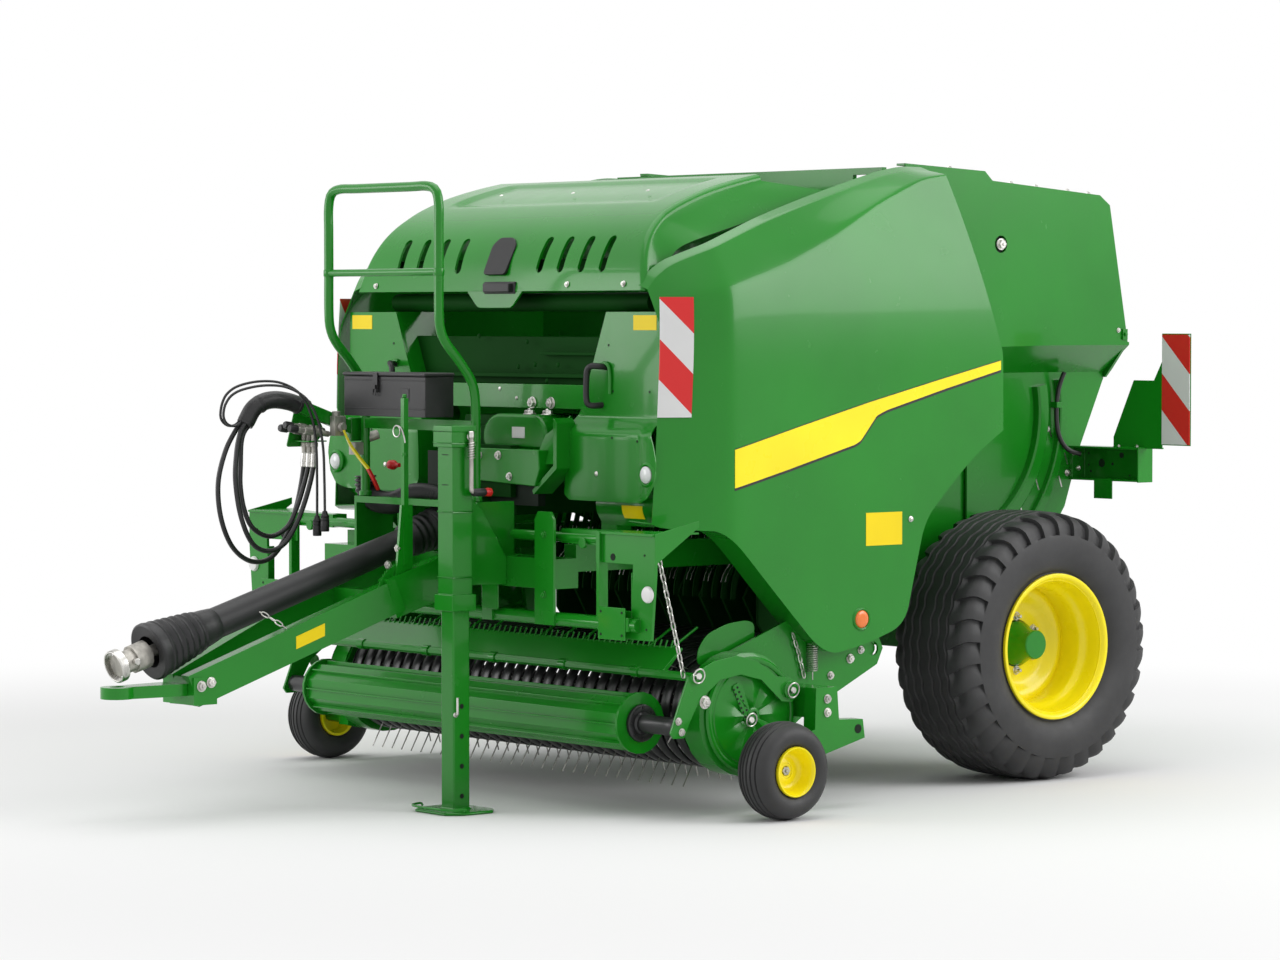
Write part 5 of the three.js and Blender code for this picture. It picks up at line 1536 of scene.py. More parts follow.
# ---------- front bay ----------
@dataclass
class FrontCowls:
    """The two front cowls: upright sheets beside the bay, with a swept inner edge, a swell low down and a
    return that goes back into the bay."""

    inner_edge: tuple[tuple[float, float], ...] = (
        (1.134, 0.495), (1.150, 0.462), (1.185, 0.452), (1.300, 0.453), (1.395, 0.456), (1.420, 0.462),
        (1.440, 0.478), (1.463, 0.500), (1.600, 0.556), (1.833, 0.650),
    )
    outer_edge: tuple[tuple[float, float], ...] = (
        (1.134, 0.905), (1.150, 0.960), (1.200, 1.000), (1.280, 1.016), (1.350, 0.998), (1.410, 0.970),
        (1.500, 0.960), (1.833, 0.955),
    )
    swell: tuple[tuple[float, float], ...] = (
        (0.440, -1.905), (0.460, -1.922), (0.500, -1.927), (0.905, -1.927), (0.930, -1.936), (0.970, -1.944),
        (1.050, -1.944),
    )
    plane: float = -1.876
    sheet: float = 0.004
    step: tuple[float, float] = (1.375, 0.075)
    reflector: tuple[float, float, float] = (0.962, 0.0, 1.240)

    def front(self, x: Points, z: Points) -> Points:
        """The y of the sheet: a flat above and a swollen plan below, eased into each other at the step."""
        low = np.interp(x, *np.array(self.swell).T)
        height, length = self.step
        share = np.clip((z - height) / length, 0, 1)
        share = share * share * (3 - 2 * share)
        return low * (1 - share) + self.plane * share

    def sheet_form(self) -> Form:
        """Rows rise from the lower edge; columns go from the return to the inner and the outer edge."""
        z = np.concatenate([np.linspace(1.134, 1.21, 9), np.linspace(1.23, 1.36, 7),
                            np.linspace(1.372, 1.50, 16), np.linspace(1.54, 1.833, 9)])
        heights, inner = np.array(self.inner_edge).T
        start = np.interp(z, heights, inner)[:, None]
        heights, outer = np.array(self.outer_edge).T
        end = np.interp(z, heights, outer)[:, None]
        x = start + (end - start) * np.linspace(0, 1, 34)[None]
        rows = np.broadcast_to(z[:, None], x.shape)
        face = np.stack([x, self.front(x, rows), rows], axis=-1)
        edge = face[:, :1]
        back = np.array([(0.002, 0.19, 0), (0.0, 0.10, 0), (0.0, 0.022, 0), (-0.001, 0.010, 0),
                         (0.001, 0.003, 0)])
        grid = np.concatenate([edge + back[None], face], axis=1)
        return slab(grid, self.sheet * -normals(grid, (-0.3, -1, 0)))

    def label(self, x0: float, x1: float, z0: float, z1: float) -> Form:
        """A blank film on the sheet."""
        x, z = np.meshgrid(np.linspace(x0, x1, 8), np.linspace(z0, z1, 5))
        grid = np.stack([x, self.front(x, z) - 0.0012, z], axis=-1)
        return slab(grid, (0, 0.003, 0))

    def grip(self) -> tuple[Form, Form]:
        """A grab handle: a black bow on two feet, and the formed green collar beside it."""
        y = self.plane
        bow = pipe(
            [(0.652, y + 0.004, 1.628), (0.644, y - 0.030, 1.632), (0.622, y - 0.050, 1.632),
             (0.606, y - 0.054, 1.618), (0.602, y - 0.055, 1.590), (0.600, y - 0.055, 1.530),
             (0.602, y - 0.054, 1.505), (0.608, y - 0.050, 1.490), (0.620, y - 0.030, 1.486),
             (0.626, y + 0.004, 1.488)], 0.0115, 14, 46)
        collar = pipe(
            [(0.632, y - 0.004, 1.640), (0.651, y - 0.007, 1.643), (0.668, y - 0.007, 1.636),
             (0.677, y - 0.006, 1.618), (0.680, y - 0.005, 1.580), (0.678, y - 0.004, 1.530)], 0.0075, 10, 30)
        return bow, collar

    def build(self) -> None:
        """Sheets, films, grips and their fasteners."""
        sheet = self.sheet_form()
        make("front_cowl_sheet_left", sheet, GREEN, "chassis", replaces=["front_cowl_left"])
        make("front_cowl_sheet_right", sheet.mirrored(), GREEN, "chassis", replaces=["front_cowl_right"])
        films = [self.label(0.808, 0.940, 1.766, 1.821)]
        make("cowl_labels", both(films), LABEL, "chassis")
        bow, collar = self.grip()
        make("cowl_grips", both([bow]), PLASTIC, "chassis")
        make("cowl_grip_collars", both([collar]), GREEN, "chassis")
        # Painted shade: where there is no screw, a dark disc stands for the shadow inside the open hole.
        heads, holes = [], []
        for x, z, screw in ((0.655, 1.235, True), (0.665, 1.71, False), (0.90, 1.54, False),
                            (0.89, 1.36, False), (0.745, 1.37, False), (0.69, 1.54, False)):
            y = float(self.front(np.array(x), np.array(z)))
            if screw:
                heads.append(button((x, y - 0.001, z), (0, -1, 0), 0.010))
            else:
                holes.append(disc((x, y + 0.002, z), (x, y - 0.0012, z), 0.0045, 10))
        make("cowl_screws", both(heads), ZINC, "chassis")
        lens = revolved([(-1.938, AXIS), (-1.938, 0.032), (-1.949, 0.031), (-1.955, 0.024), (-1.958, 0.012),
                         (-1.9585, AXIS)], self.reflector, "y", 40, False)
        ring = revolved([(-1.936, 0.033), (-1.948, 0.034), (-1.950, 0.038), (-1.944, 0.046), (-1.936, 0.046)],
                        self.reflector, "y", 40)
        make("cowl_reflectors", both([lens]), LENS, "chassis")
        make("cowl_reflector_rings", both([ring]), GREEN, "chassis")
        make("cowl_holes", both(holes), HOLE_SHADE, "chassis")

@dataclass
class GearBay:
    """The bay between the cowls: gearbox cover, folded plates, the cavity below and the inner fittings."""

    def build(self) -> None:
        """Refined frame parts first, then covers and fasteners."""
        # Painted shade: the gearbox takes the darkened green that stands for the shade under the hood.
        refine("gearbox", SHADED, "chassis", 0.004)
        refine("main_frame", GREEN, "chassis", 0.003)
        shell = bent([(-0.035, 1.315), (0.352, 1.315), (0.352, 1.395), (0.300, 1.448), (0.030, 1.448),
                      (-0.035, 1.400)], 0.045)
        make("gearbox_shroud", prism(shell, "y", -1.925, -1.72), GREEN, "chassis", 0.012)
        beam = bent([(0.000, 1.196), (0.000, 1.318), (0.405, 1.318), (0.412, 1.245), (0.385, 1.182)], 0.006)
        make("bay_cross_member", prism(beam, "y", -2.004, -1.930), GREEN, "chassis", 0.003)
        grid = np.linspace(
            np.linspace((0.352, -1.985, 1.262), (0.352, -1.925, 1.372), 9),
            np.linspace((0.492, -1.955, 1.268), (0.474, -1.905, 1.446), 9), 9, axis=1)
        fold = slab(grid, -0.004 * normals(grid, (0, -1, 0)))
        make("bay_folded_plate", fold, GREEN, "chassis")
        brace = prism(bent([(0.360, 1.150), (0.498, 1.250), (0.498, 1.420), (0.478, 1.440), (0.478, 1.262),
                            (0.352, 1.166)], 0.004), "y", -1.990, -1.90)
        make("bay_brace", brace, GREEN, "chassis", 0.002)
        plate = block(0.151, 0.227, -1.9275, -1.924, 1.357, 1.399)
        make("blank_maker_plate", plate, WHITE, "chassis", 0.001)
        # Painted shade: dark blocks stand for the shadow in the cavity under the gearbox and beside it.
        hollow = [block(0.003, 0.345, -1.955, -1.92, 1.105, 1.194),
                  block(-0.30, -0.02, -1.985, -1.975, 1.14, 1.30)]
        make("bay_hollows", hollow, HOLE_SHADE, "chassis")
        nuts = [bolt((x, -1.952, 1.4480), (0, 0, 1), 0.017) for x in (0.290, 0.398)]
        nuts += bolts_facing((0, -1, 0), (
            (0.167, -2.0045, 1.293, 0.012), (0.235, -2.0045, 1.215, 0.011), (0.055, -2.0045, 1.290, 0.009)))
        nuts += [button((x, -1.8585, z), (0, -1, 0), 0.008) for x, z in ((-0.011, 1.541), (0.093, 1.506))]
        nuts += [bolt((x, -1.8585, 1.490), (0, -1, 0), 0.016) for x in (0.191, 0.304)]
        make("bay_fasteners", nuts, ZINC, "chassis")
        # Painted shade: the bolts deep in the bay take the darkened green instead of zinc, for the shade they
        # sit in.
        shaded_bolts = [button((x, -1.832, z), (0, -1, 0), 0.010) for x, z in (
            (-0.392, 1.797), (-0.392, 1.741), (-0.173, 1.741), (0.125, 1.720), (0.312, 1.634), (0.245, 1.572),
            (0.070, 1.625), (0.173, 1.634))]
        make("bay_inner_bolts", shaded_bolts, SHADED, "chassis")
        # Painted shade: the rails and ledges deep in the bay take the darkened green.
        rails = [pipe([(-0.79, -1.76, z), (0.79, -1.76, z)], r, 18)
                 for z, r in ((1.985, 0.05), (1.87, 0.035))]
        rails += [block(-0.70, 0.70, -1.83, -1.80, 1.585, 1.600),
                  block(0.20, 0.62, -1.83, -1.80, 1.67, 1.682), block(-0.70, 0.70, -1.80, -1.78, 1.56, 1.74)]
        make("bay_inner_rails", rails, SHADED, "chassis", 0.002)

@dataclass
class Hoop:
    """The hand rail: one bent tube from leg to leg with a rung across it."""

    half: float = 0.345
    tube: float = 0.018
    plane: float = -2.420
    top: float = 2.296
    rung: float = 1.980
    bend: float = 0.070

    def build(self) -> None:
        """The tube runs up one leg, over the top and down the other."""
        bend, plane, top = self.bend, self.plane, self.top
        leg = np.array([
            (self.half, -2.250, 1.131), (self.half, -2.250, 1.300), (self.half, -2.250, 1.440),
            (self.half, -2.254, 1.520), (self.half, -2.272, 1.580), (self.half, -2.325, 1.650),
            (self.half, -2.385, 1.715), (self.half, -2.412, 1.765), (self.half, plane, 1.830),
            (self.half, plane, 2.000), (self.half, plane, 2.140), (self.half, plane, top - bend),
            (self.half - 0.25 * bend, plane, top - 0.26 * bend), (self.half - bend, plane, top),
            (self.half * 0.45, plane, top),
        ])
        route = np.concatenate([leg, leg[::-1] * [-1, 1, 1]])
        rail = pipe(route, self.tube, 20, 150)
        rung = pipe([(-self.half, plane, self.rung), (self.half, plane, self.rung)], 0.014, 16)
        feet = [block(-self.half, self.half, -2.262, -2.238, 1.390, 1.430)]
        beads = [revolved([(1.966, 0.0182), (1.970, 0.0205), (1.990, 0.0205), (1.994, 0.0182)],
                          (sign * self.half, plane, 0), "z", 20) for sign in (1, -1)]
        collars = [disc((sign * self.half, -2.25, 1.131), (sign * self.half, -2.25, 1.150), 0.024, 20, 0.002)
                   for sign in (1, -1)]
        make("hand_rail", [rail, rung] + feet, GREEN, "chassis", replaces=["handrail_hoop"])
        make("hand_rail_welds", beads + collars, GREEN, "chassis")

@dataclass
class Toolbox:
    """The plastic toolbox on the drawbar: grained body with ribs, a lid with a skirt, and a hasp."""

    ends: tuple[float, float] = (-0.270, 0.240)
    front: float = -2.404
    middle: float = -0.060

    def build(self) -> None:
        """Body and lid come from the frame; then the hasp, two ribs and a blank badge on the front."""
        refine("toolbox", PLASTIC, "chassis", 0.006)
        refine("toolbox_lid", PLASTIC, "toolbox_lid", 0.005)
        front, middle = self.front, self.middle
        hasp = joined([
            block(middle - 0.014, middle + 0.014, front - 0.0105, front - 0.0065, 1.532, 1.606),
            block(middle - 0.010, middle + 0.010, front - 0.0180, front - 0.0065, 1.545, 1.560),
            pipe([(middle - 0.008, front - 0.012, 1.545), (middle - 0.008, front - 0.013, 1.524),
                  (middle + 0.008, front - 0.013, 1.524), (middle + 0.008, front - 0.012, 1.545)],
                 0.002, 8, 20),
        ])
        make("toolbox_hasp", hasp, PLASTIC, "toolbox_lid", 0.0012)
        ribs = [block(self.ends[0] + 0.006, self.ends[1] - 0.006, front - 0.0024, front + 0.001, z, z + 0.004)
                for z in (1.470, 1.576)]
        badge = block(0.100, 0.140, front - 0.0022, front + 0.001, 1.500, 1.548)
        make("toolbox_ribs", ribs, PLASTIC, "chassis", 0.001)
        make("toolbox_blank_badge", badge, PLASTIC, "chassis", 0.001)

@dataclass
class Stand:
    """The parking stand beside the drawbar: clamped sleeve, telescopic leg, crank and foot."""

    x: float = 0.440
    y: float = -2.420
    band: tuple[float, float] = (0.003, 0.0055)

    def bands(self) -> list[Form]:
        """Thin square rings round the sleeve: each is four blocks inside a half width."""
        x, y = self.x, self.y
        wall, tall = self.band
        walls = []
        for half, z in ((0.058, 1.352), (0.058, 1.394), (0.047, 0.86), (0.047, 1.10)):
            sides = ((-half, wall - half), (half - wall, half))
            walls += [block(x - half, x + half, y + low, y + high, z, z + tall) for low, high in sides]
            walls += [block(x + low, x + high, y - half, y + half, z, z + tall) for low, high in sides]
        return walls

    def build(self) -> None:
        """Sleeve and leg from the frame, then bands, crank, and the leg's holes, pin and foot grip."""
        refine("stand_sleeve", GREEN, "chassis", 0.007)
        refine("stand_leg", GREEN, "stand_leg", 0.006)
        x, y = self.x, self.y
        make("stand_clamp_bands", self.bands(), GREEN, "chassis", 0.002)
        front = y - 0.0457
        # Painted shade: thin dark marks stand for the shadow in the sleeve's slots.
        slots = [block(x - 0.018, x + 0.018, front, front + 0.0004, z, z + 0.003) for z in (1.2, 1.31)]
        make("stand_slot_marks", slots, HOLE_SHADE, "chassis")
        self.build_crank()
        # Painted shade: dark discs stand for the shadow inside the leg's holes.
        holes = [disc((x + 0.0375, y, z), (x + 0.0387, y, z), 0.0095, 16)
                 for z in (0.280, 0.170, 0.060, 0.39)]
        make("stand_leg_holes", holes, HOLE_SHADE, "stand_leg")
        side = x + 0.0385
        pin = [pipe([(side, y - 0.03, 0.360), (side + 0.012, y - 0.03, 0.362),
                     (side + 0.014, y - 0.03, 0.372), (side + 0.014, y - 0.03, 0.424)], 0.0050, 10, 26),
               disc((side - 0.001, y - 0.03, 0.360), (side + 0.006, y - 0.03, 0.360), 0.010, 14, 0.002)]
        make("stand_locking_pin", pin, ZINC, "stand_leg")
        wire = pipe([(x - 0.128, y - 0.055, 0.016), (x - 0.134, y - 0.060, 0.024),
                     (x - 0.10, y - 0.118, 0.022), (x + 0.10, y - 0.118, 0.022),
                     (x + 0.134, y - 0.060, 0.024), (x + 0.128, y - 0.055, 0.016)],
                    0.0045, 8, 40)
        make("stand_foot_grip", wire, GREEN, "stand_leg")

    def build_crank(self) -> None:
        """The crank: a bent rod, its boss and spring, the grip and the red cap."""
        x, y = self.x, self.y
        crank, back = x + 0.072, y + 0.020
        rod = [(x + 0.050, back, 1.378), (crank - 0.010, back, 1.379), (crank - 0.002, back, 1.376),
               (crank, back, 1.366), (crank, back, 1.250), (crank, back, 1.190), (crank, back + 0.004, 1.179),
               (crank, back + 0.016, 1.175)]
        make("crank_rod", pipe(rod, 0.0085, 14, 60), CAST, "chassis", replaces=["stand_crank"])
        boss = [disc((x + 0.0585, back, 1.378), (crank - 0.006, back, 1.378), 0.013, 20, 0.002),
                disc((crank, back, 1.372), (crank, back, 1.398), 0.012, 20, 0.003),
                spring((crank, back, 1.360), (crank, back, 1.296), 0.0125, 0.0022, 7)]
        make("crank_boss_and_spring", boss, ZINC, "chassis")
        grip = revolved([(back + 0.006, AXIS), (back + 0.006, 0.0125), (back + 0.012, 0.0145),
                         (back + 0.058, 0.0150), (back + 0.062, 0.0135), (back + 0.062, AXIS)],
                        (crank, 0, 1.1735), "y", 24, False)
        make("crank_grip", grip, PLASTIC, "chassis")
        end = revolved([(back + 0.0622, AXIS), (back + 0.0622, 0.0150), (back + 0.078, 0.0165),
                        (back + 0.088, 0.0150), (back + 0.092, 0.008), (back + 0.0925, AXIS)],
                       (crank, 0, 1.1735), "y", 24, False)
        make("crank_grip_cap", end, RED, "chassis")

@dataclass
class Drawbar:
    """The drawbar: beams, hitch ring, prop pole with its toothed quadrant, and the blank label."""

    quadrant: tuple[float, float] = (-2.472, 0.785)
    quadrant_reach: float = 0.120

    def round_quadrant(self, start: float, end: float, count: int) -> list[tuple[float, float]]:
        """Points y and z round the quadrant's centre, between two angles in degrees."""
        y, z = self.quadrant
        reach = self.quadrant_reach
        turn = np.linspace(math.radians(start), math.radians(end), count)
        return [(y + reach * math.cos(a), z + reach * math.sin(a)) for a in turn]

    def build(self) -> None:
        """Beams and ring from the frame, then the pole's teeth, clips and bolts."""
        refine("drawbar", GREEN, "chassis", 0.005)
        refine("drawbar_eye", GREEN, "chassis", 0.006)
        pole = self.quadrant[0]
        sector = [(pole, 0.74), *self.round_quadrant(80, 190, 18), (-2.59, 0.74)]
        teeth = [block(0.190, 0.194, y - 0.003, y + 0.003, z - 0.003, z + 0.005)
                 for y, z in self.round_quadrant(92, 176, 15)]
        make("pole_quadrant", prism(sector, "x", 0.1895, 0.1945), GREEN, "chassis", 0.001)
        make("pole_quadrant_teeth", teeth, GREEN, "chassis")
        collar = [(1.300, 0.0102), (1.302, 0.0128), (1.312, 0.0128), (1.314, 0.0102)]
        pole_parts = [revolved(collar, (0.202, pole, 0), "z", 20),
                      disc((0.202, pole, 1.5152), (0.202, pole, 1.530), 0.0085, 16, 0.003)]
        make("pole_collars", pole_parts, GREEN, "chassis", angle=30)
        ring = np.linspace(0, 2 * np.pi, 25)
        clip = [pipe(np.stack([0.170 + 0.021 * np.cos(ring), -2.484 + 0 * ring,
                               1.392 + 0.021 * np.sin(ring)], -1),
                     0.0028, 8),
                pipe([(0.180, -2.484, 1.412), (0.200, -2.4845, 1.402), (0.216, -2.4845, 1.372),
                      (0.222, -2.484, 1.350)], 0.0028, 8, 20)]
        bolts = bolts_facing((1, 0, 0), (
            (0.1005, -3.308, 0.488, 0.014), (0.1005, -3.266, 0.500, 0.014), (0.1955, -2.50, 0.96, 0.011),
            (0.1955, -2.545, 0.90, 0.011)))
        make("drawbar_clip_and_bolts", clip + bolts, ZINC, "chassis")
        grid = np.linspace(
            np.linspace((0.1558, -2.930, 0.606), (0.1735, -2.815, 0.650), 6),
            np.linspace((0.1558, -2.930, 0.652), (0.1735, -2.815, 0.696), 6), 4)
        make("drawbar_label", slab(grid, (-0.004, 0.0, 0.0)), LABEL, "chassis")

@dataclass
class PowerShaft:
    """The drive shaft's guard: a plain tube between two bellows cones, with its chains and the yoke ahead."""

    front: tuple[float, float, float] = (0.0, -3.190, 0.700)
    rear: tuple[float, float, float] = (0.0, -2.200, 1.011)

    def bellows(self, along: Points, radius: float, slope: float, swing: float, pitch: float) -> list[Place]:
        """Profile points of a ringed cone: a sloping radius with a sine wave on it."""
        gone = along - along[0]
        size = radius + slope * gone + swing * np.sin(gone * 2 * np.pi / pitch)
        return list(zip(along.tolist(), size.tolist()))

    def build(self) -> None:
        """The profile runs along the shaft: bell, rings, cone, tube, cone, rings, bell."""
        way = (Vector(self.rear) - Vector(self.front)).normalized()
        frame_of_shaft = facing(self.front, tuple(way))
        ahead = [(-0.288, 0.060), (-0.2925, 0.100), (-0.288, 0.1065), (-0.276, 0.1075), (-0.262, 0.1035)]
        rings = self.bellows(np.linspace(-0.250, -0.075, 34), 0.1005, -0.150, 0.0035, 0.029)
        neck = [(-0.060, 0.0700), (-0.030, 0.0660), (0.004, 0.0600), (0.012, 0.0520), (0.016, 0.0400)]
        tube = [(0.030, 0.0375), (0.450, 0.0375), (0.452, 0.0415), (0.478, 0.0415), (0.480, 0.0375),
                (0.900, 0.0375)]
        behind = [(0.905, 0.044), (0.909, 0.062), (0.920, 0.0655)]
        more = self.bellows(np.linspace(0.935, 1.075, 30), 0.066, 0.085, 0.0030, 0.028)
        last = [(1.088, 0.0790), (1.104, 0.0800), (1.108, 0.0770), (1.104, 0.050)]
        profile = ahead + rings + neck + tube + behind + more + last
        guard = revolved(profile, (0, 0, 0), "z", 56)
        make("shaft_guard", guard.posed(frame_of_shaft), PLASTIC, "chassis", replaces=["pto_guard"])
        refine("pto_yoke", CAST, "pto_shaft", 0.003)
        start = Vector(self.front) - way * 0.43
        ring = revolved([(-0.016, 0.053), (-0.016, 0.058), (-0.012, 0.0605), (0.012, 0.0605), (0.016, 0.058),
                         (0.016, 0.053)], (0, 0, 0), "z", 32)
        pins = [disc((0.045, 0, 0.052), (0.061, 0, 0.052), 0.013, 18, 0.002),
                disc((-0.061, 0, 0.052), (-0.045, 0, 0.052), 0.013, 18, 0.002)]
        hub = facing(tuple(start), tuple(way))
        make("yoke_collar", joined([ring] + pins).posed(hub), ZINC, "pto_shaft", 0.001)
        tie = chain([(0.036, -3.03, 0.752), (0.10, -2.97, 0.70), (0.150, -2.90, 0.640)], 0.026, 0.0028)
        make("guard_chain", tie, ZINC, "chassis")

@dataclass
class HoseBoom:
    """The boom that carries the hoses: a beam in a corrugated sleeve, the coupler rack, valves and levers."""

    def build(self) -> None:
        """Sleeve, beam, ties and the rack's shelf, then what is on the rack."""
        route = [(-0.399, -2.520, 1.479), (-0.402, -2.570, 1.494), (-0.405, -2.630, 1.5015),
                 (-0.409, -2.680, 1.4935), (-0.414, -2.722, 1.468), (-0.4185, -2.752, 1.420)]
        sleeve = pipe(route, 0.0335, 24, 60)
        mouth = [disc((-0.4172, -2.7440, 1.4330), (-0.4195, -2.7585, 1.4095), 0.0325, 24, 0.002)]
        make("boom_sleeve", [sleeve] + mouth, HOSE, "chassis", replaces=["hose_boom"])
        beam = swept(np.linspace([-0.385, -2.290, 1.390], [-0.400, -2.560, 1.490], 3),
                     rectangle(0.032, 0.050))
        seat = [beam, block(-0.392, -0.368, -2.300, -2.240, 1.340, 1.430)]
        make("boom_beam", seat, GREEN, "chassis", 0.004)
        bands = [disc((-0.4105, -2.690, 1.4885), (-0.4117, -2.701, 1.4820), 0.0352, 24, 0.001),
                 disc((-0.3995, -2.523, 1.4800), (-0.4003, -2.532, 1.4828), 0.0362, 24, 0.002)]
        make("boom_ties", bands, PLASTIC, "chassis")
        side = bent(
            [(-2.540, 1.320), (-2.420, 1.320), (-2.360, 1.372), (-2.430, 1.500), (-2.500, 1.470)], 0.012)
        rack = [prism(side, "x", -0.461, -0.455), block(-0.458, -0.354, -2.510, -2.425, 1.340, 1.345)]
        make("coupler_shelf", rack, GREEN, "chassis", 0.0015, replaces=["coupler_rack"])
        self.build_couplers()
        self.build_valves()
        self.build_conduit()

    def build_couplers(self) -> None:
        """Three couplers in a row: an upright socket, and a body with its cap that points forward."""
        heads, caps = [], []
        for k, x in enumerate((-0.437, -0.405, -0.373)):
            socket = [(1.298, AXIS), (1.298, 0.0105), (1.320, 0.0115), (1.322, 0.0145), (1.336, 0.0145),
                      (1.338, 0.0120), (1.372, 0.0120), (1.374, 0.0145), (1.392, 0.0145), (1.400, 0.010),
                      (1.400, AXIS)]
            heads.append(revolved(socket, (x, -2.470, 0), "z", 20, False))
            start, end = (x, -2.500, 1.382 + 0.012 * (k % 2)), (x, -2.372, 1.364 + 0.012 * (k % 2))
            way = np.subtract(end, start)
            pose = facing(start, tuple(way / np.linalg.norm(way)))
            body = [(-0.060, AXIS), (-0.060, 0.0110), (-0.020, 0.0120), (-0.018, 0.0150), (0.012, 0.0150),
                    (0.014, 0.0125), (0.030, 0.0125), (0.032, 0.0155), (0.064, 0.0155), (0.066, 0.0115),
                    (0.096, 0.0115), (0.100, 0.009), (0.100, AXIS)]
            heads.append(revolved(body, (0, 0, 0), "z", 20, False).posed(pose))
            cap = [(-0.086, AXIS), (-0.086, 0.0125), (-0.080, 0.0150), (-0.052, 0.0150), (-0.050, 0.0115),
                   (-0.0595, AXIS)]
            caps.append(revolved(cap, (0, 0, 0), "z", 20, False).posed(pose))
        make("couplers", heads, CAST, "chassis")
        make("coupler_caps", caps, PLASTIC, "chassis")

    def build_valves(self) -> None:
        """The cast valves, the two-coloured lever under them and the knob in the bay."""
        valves = [block(-0.372, -0.340, -2.398, -2.345, 1.362, 1.437),
                  block(-0.378, -0.336, -2.305, -2.248, 1.288, 1.336)]
        valves += [disc((-0.356, -2.38, 1.436), (-0.356, -2.38, 1.456), 0.016, 18, 0.002),
                   disc((-0.336, -2.372, 1.395), (-0.318, -2.372, 1.395), 0.017, 18, 0.002),
                   disc((-0.350, -2.245, 1.350), (-0.330, -2.200, 1.366), 0.019, 18, 0.002)]
        make("valve_blocks", valves, CAST, "chassis", 0.004)
        lever = [(-0.318, -2.372, 1.384), (-0.306, -2.351, 1.330), (-0.302, -2.312, 1.280),
                 (-0.300, -2.271, 1.236)]
        make("lever_yellow", swept(flowing(lever, 14), rectangle(0.018, 0.009)), YELLOW, "chassis", 0.002)
        tail = [(-0.300, -2.271, 1.2355), (-0.299, -2.248, 1.198), (-0.298, -2.224, 1.153)]
        make("lever_red", swept(flowing(tail, 9), rectangle(0.018, 0.010)), RED, "chassis", 0.002)
        profile = [(-0.330, AXIS), (-0.330, 0.012), (-0.322, 0.018), (-0.300, 0.019), (-0.288, 0.014),
                   (-0.284, 0.009), (-0.262, 0.008), (-0.262, AXIS)]
        knob = revolved(profile, (0, -2.150, 1.247), "x", 24, False)
        make("bay_red_knob", knob, RED, "chassis")

    def build_conduit(self) -> None:
        """The corrugated conduit: a line whose size swings once in every four steps."""
        way = [(-0.405, -2.205, 1.205), (-0.400, -2.205, 1.150), (-0.350, -2.200, 1.112),
               (-0.250, -2.190, 1.105), (-0.120, -2.180, 1.140), (0.020, -2.165, 1.135),
               (0.085, -2.130, 1.120)]
        line = flowing(way, 150)
        t = np.arange(len(line))
        sizes = 0.040 + 0.004 * np.sin(t * 2 * np.pi / 4.0)
        make("corrugated_conduit", swept(line, circle(1.0, 18), sizes), HOSE, "chassis")

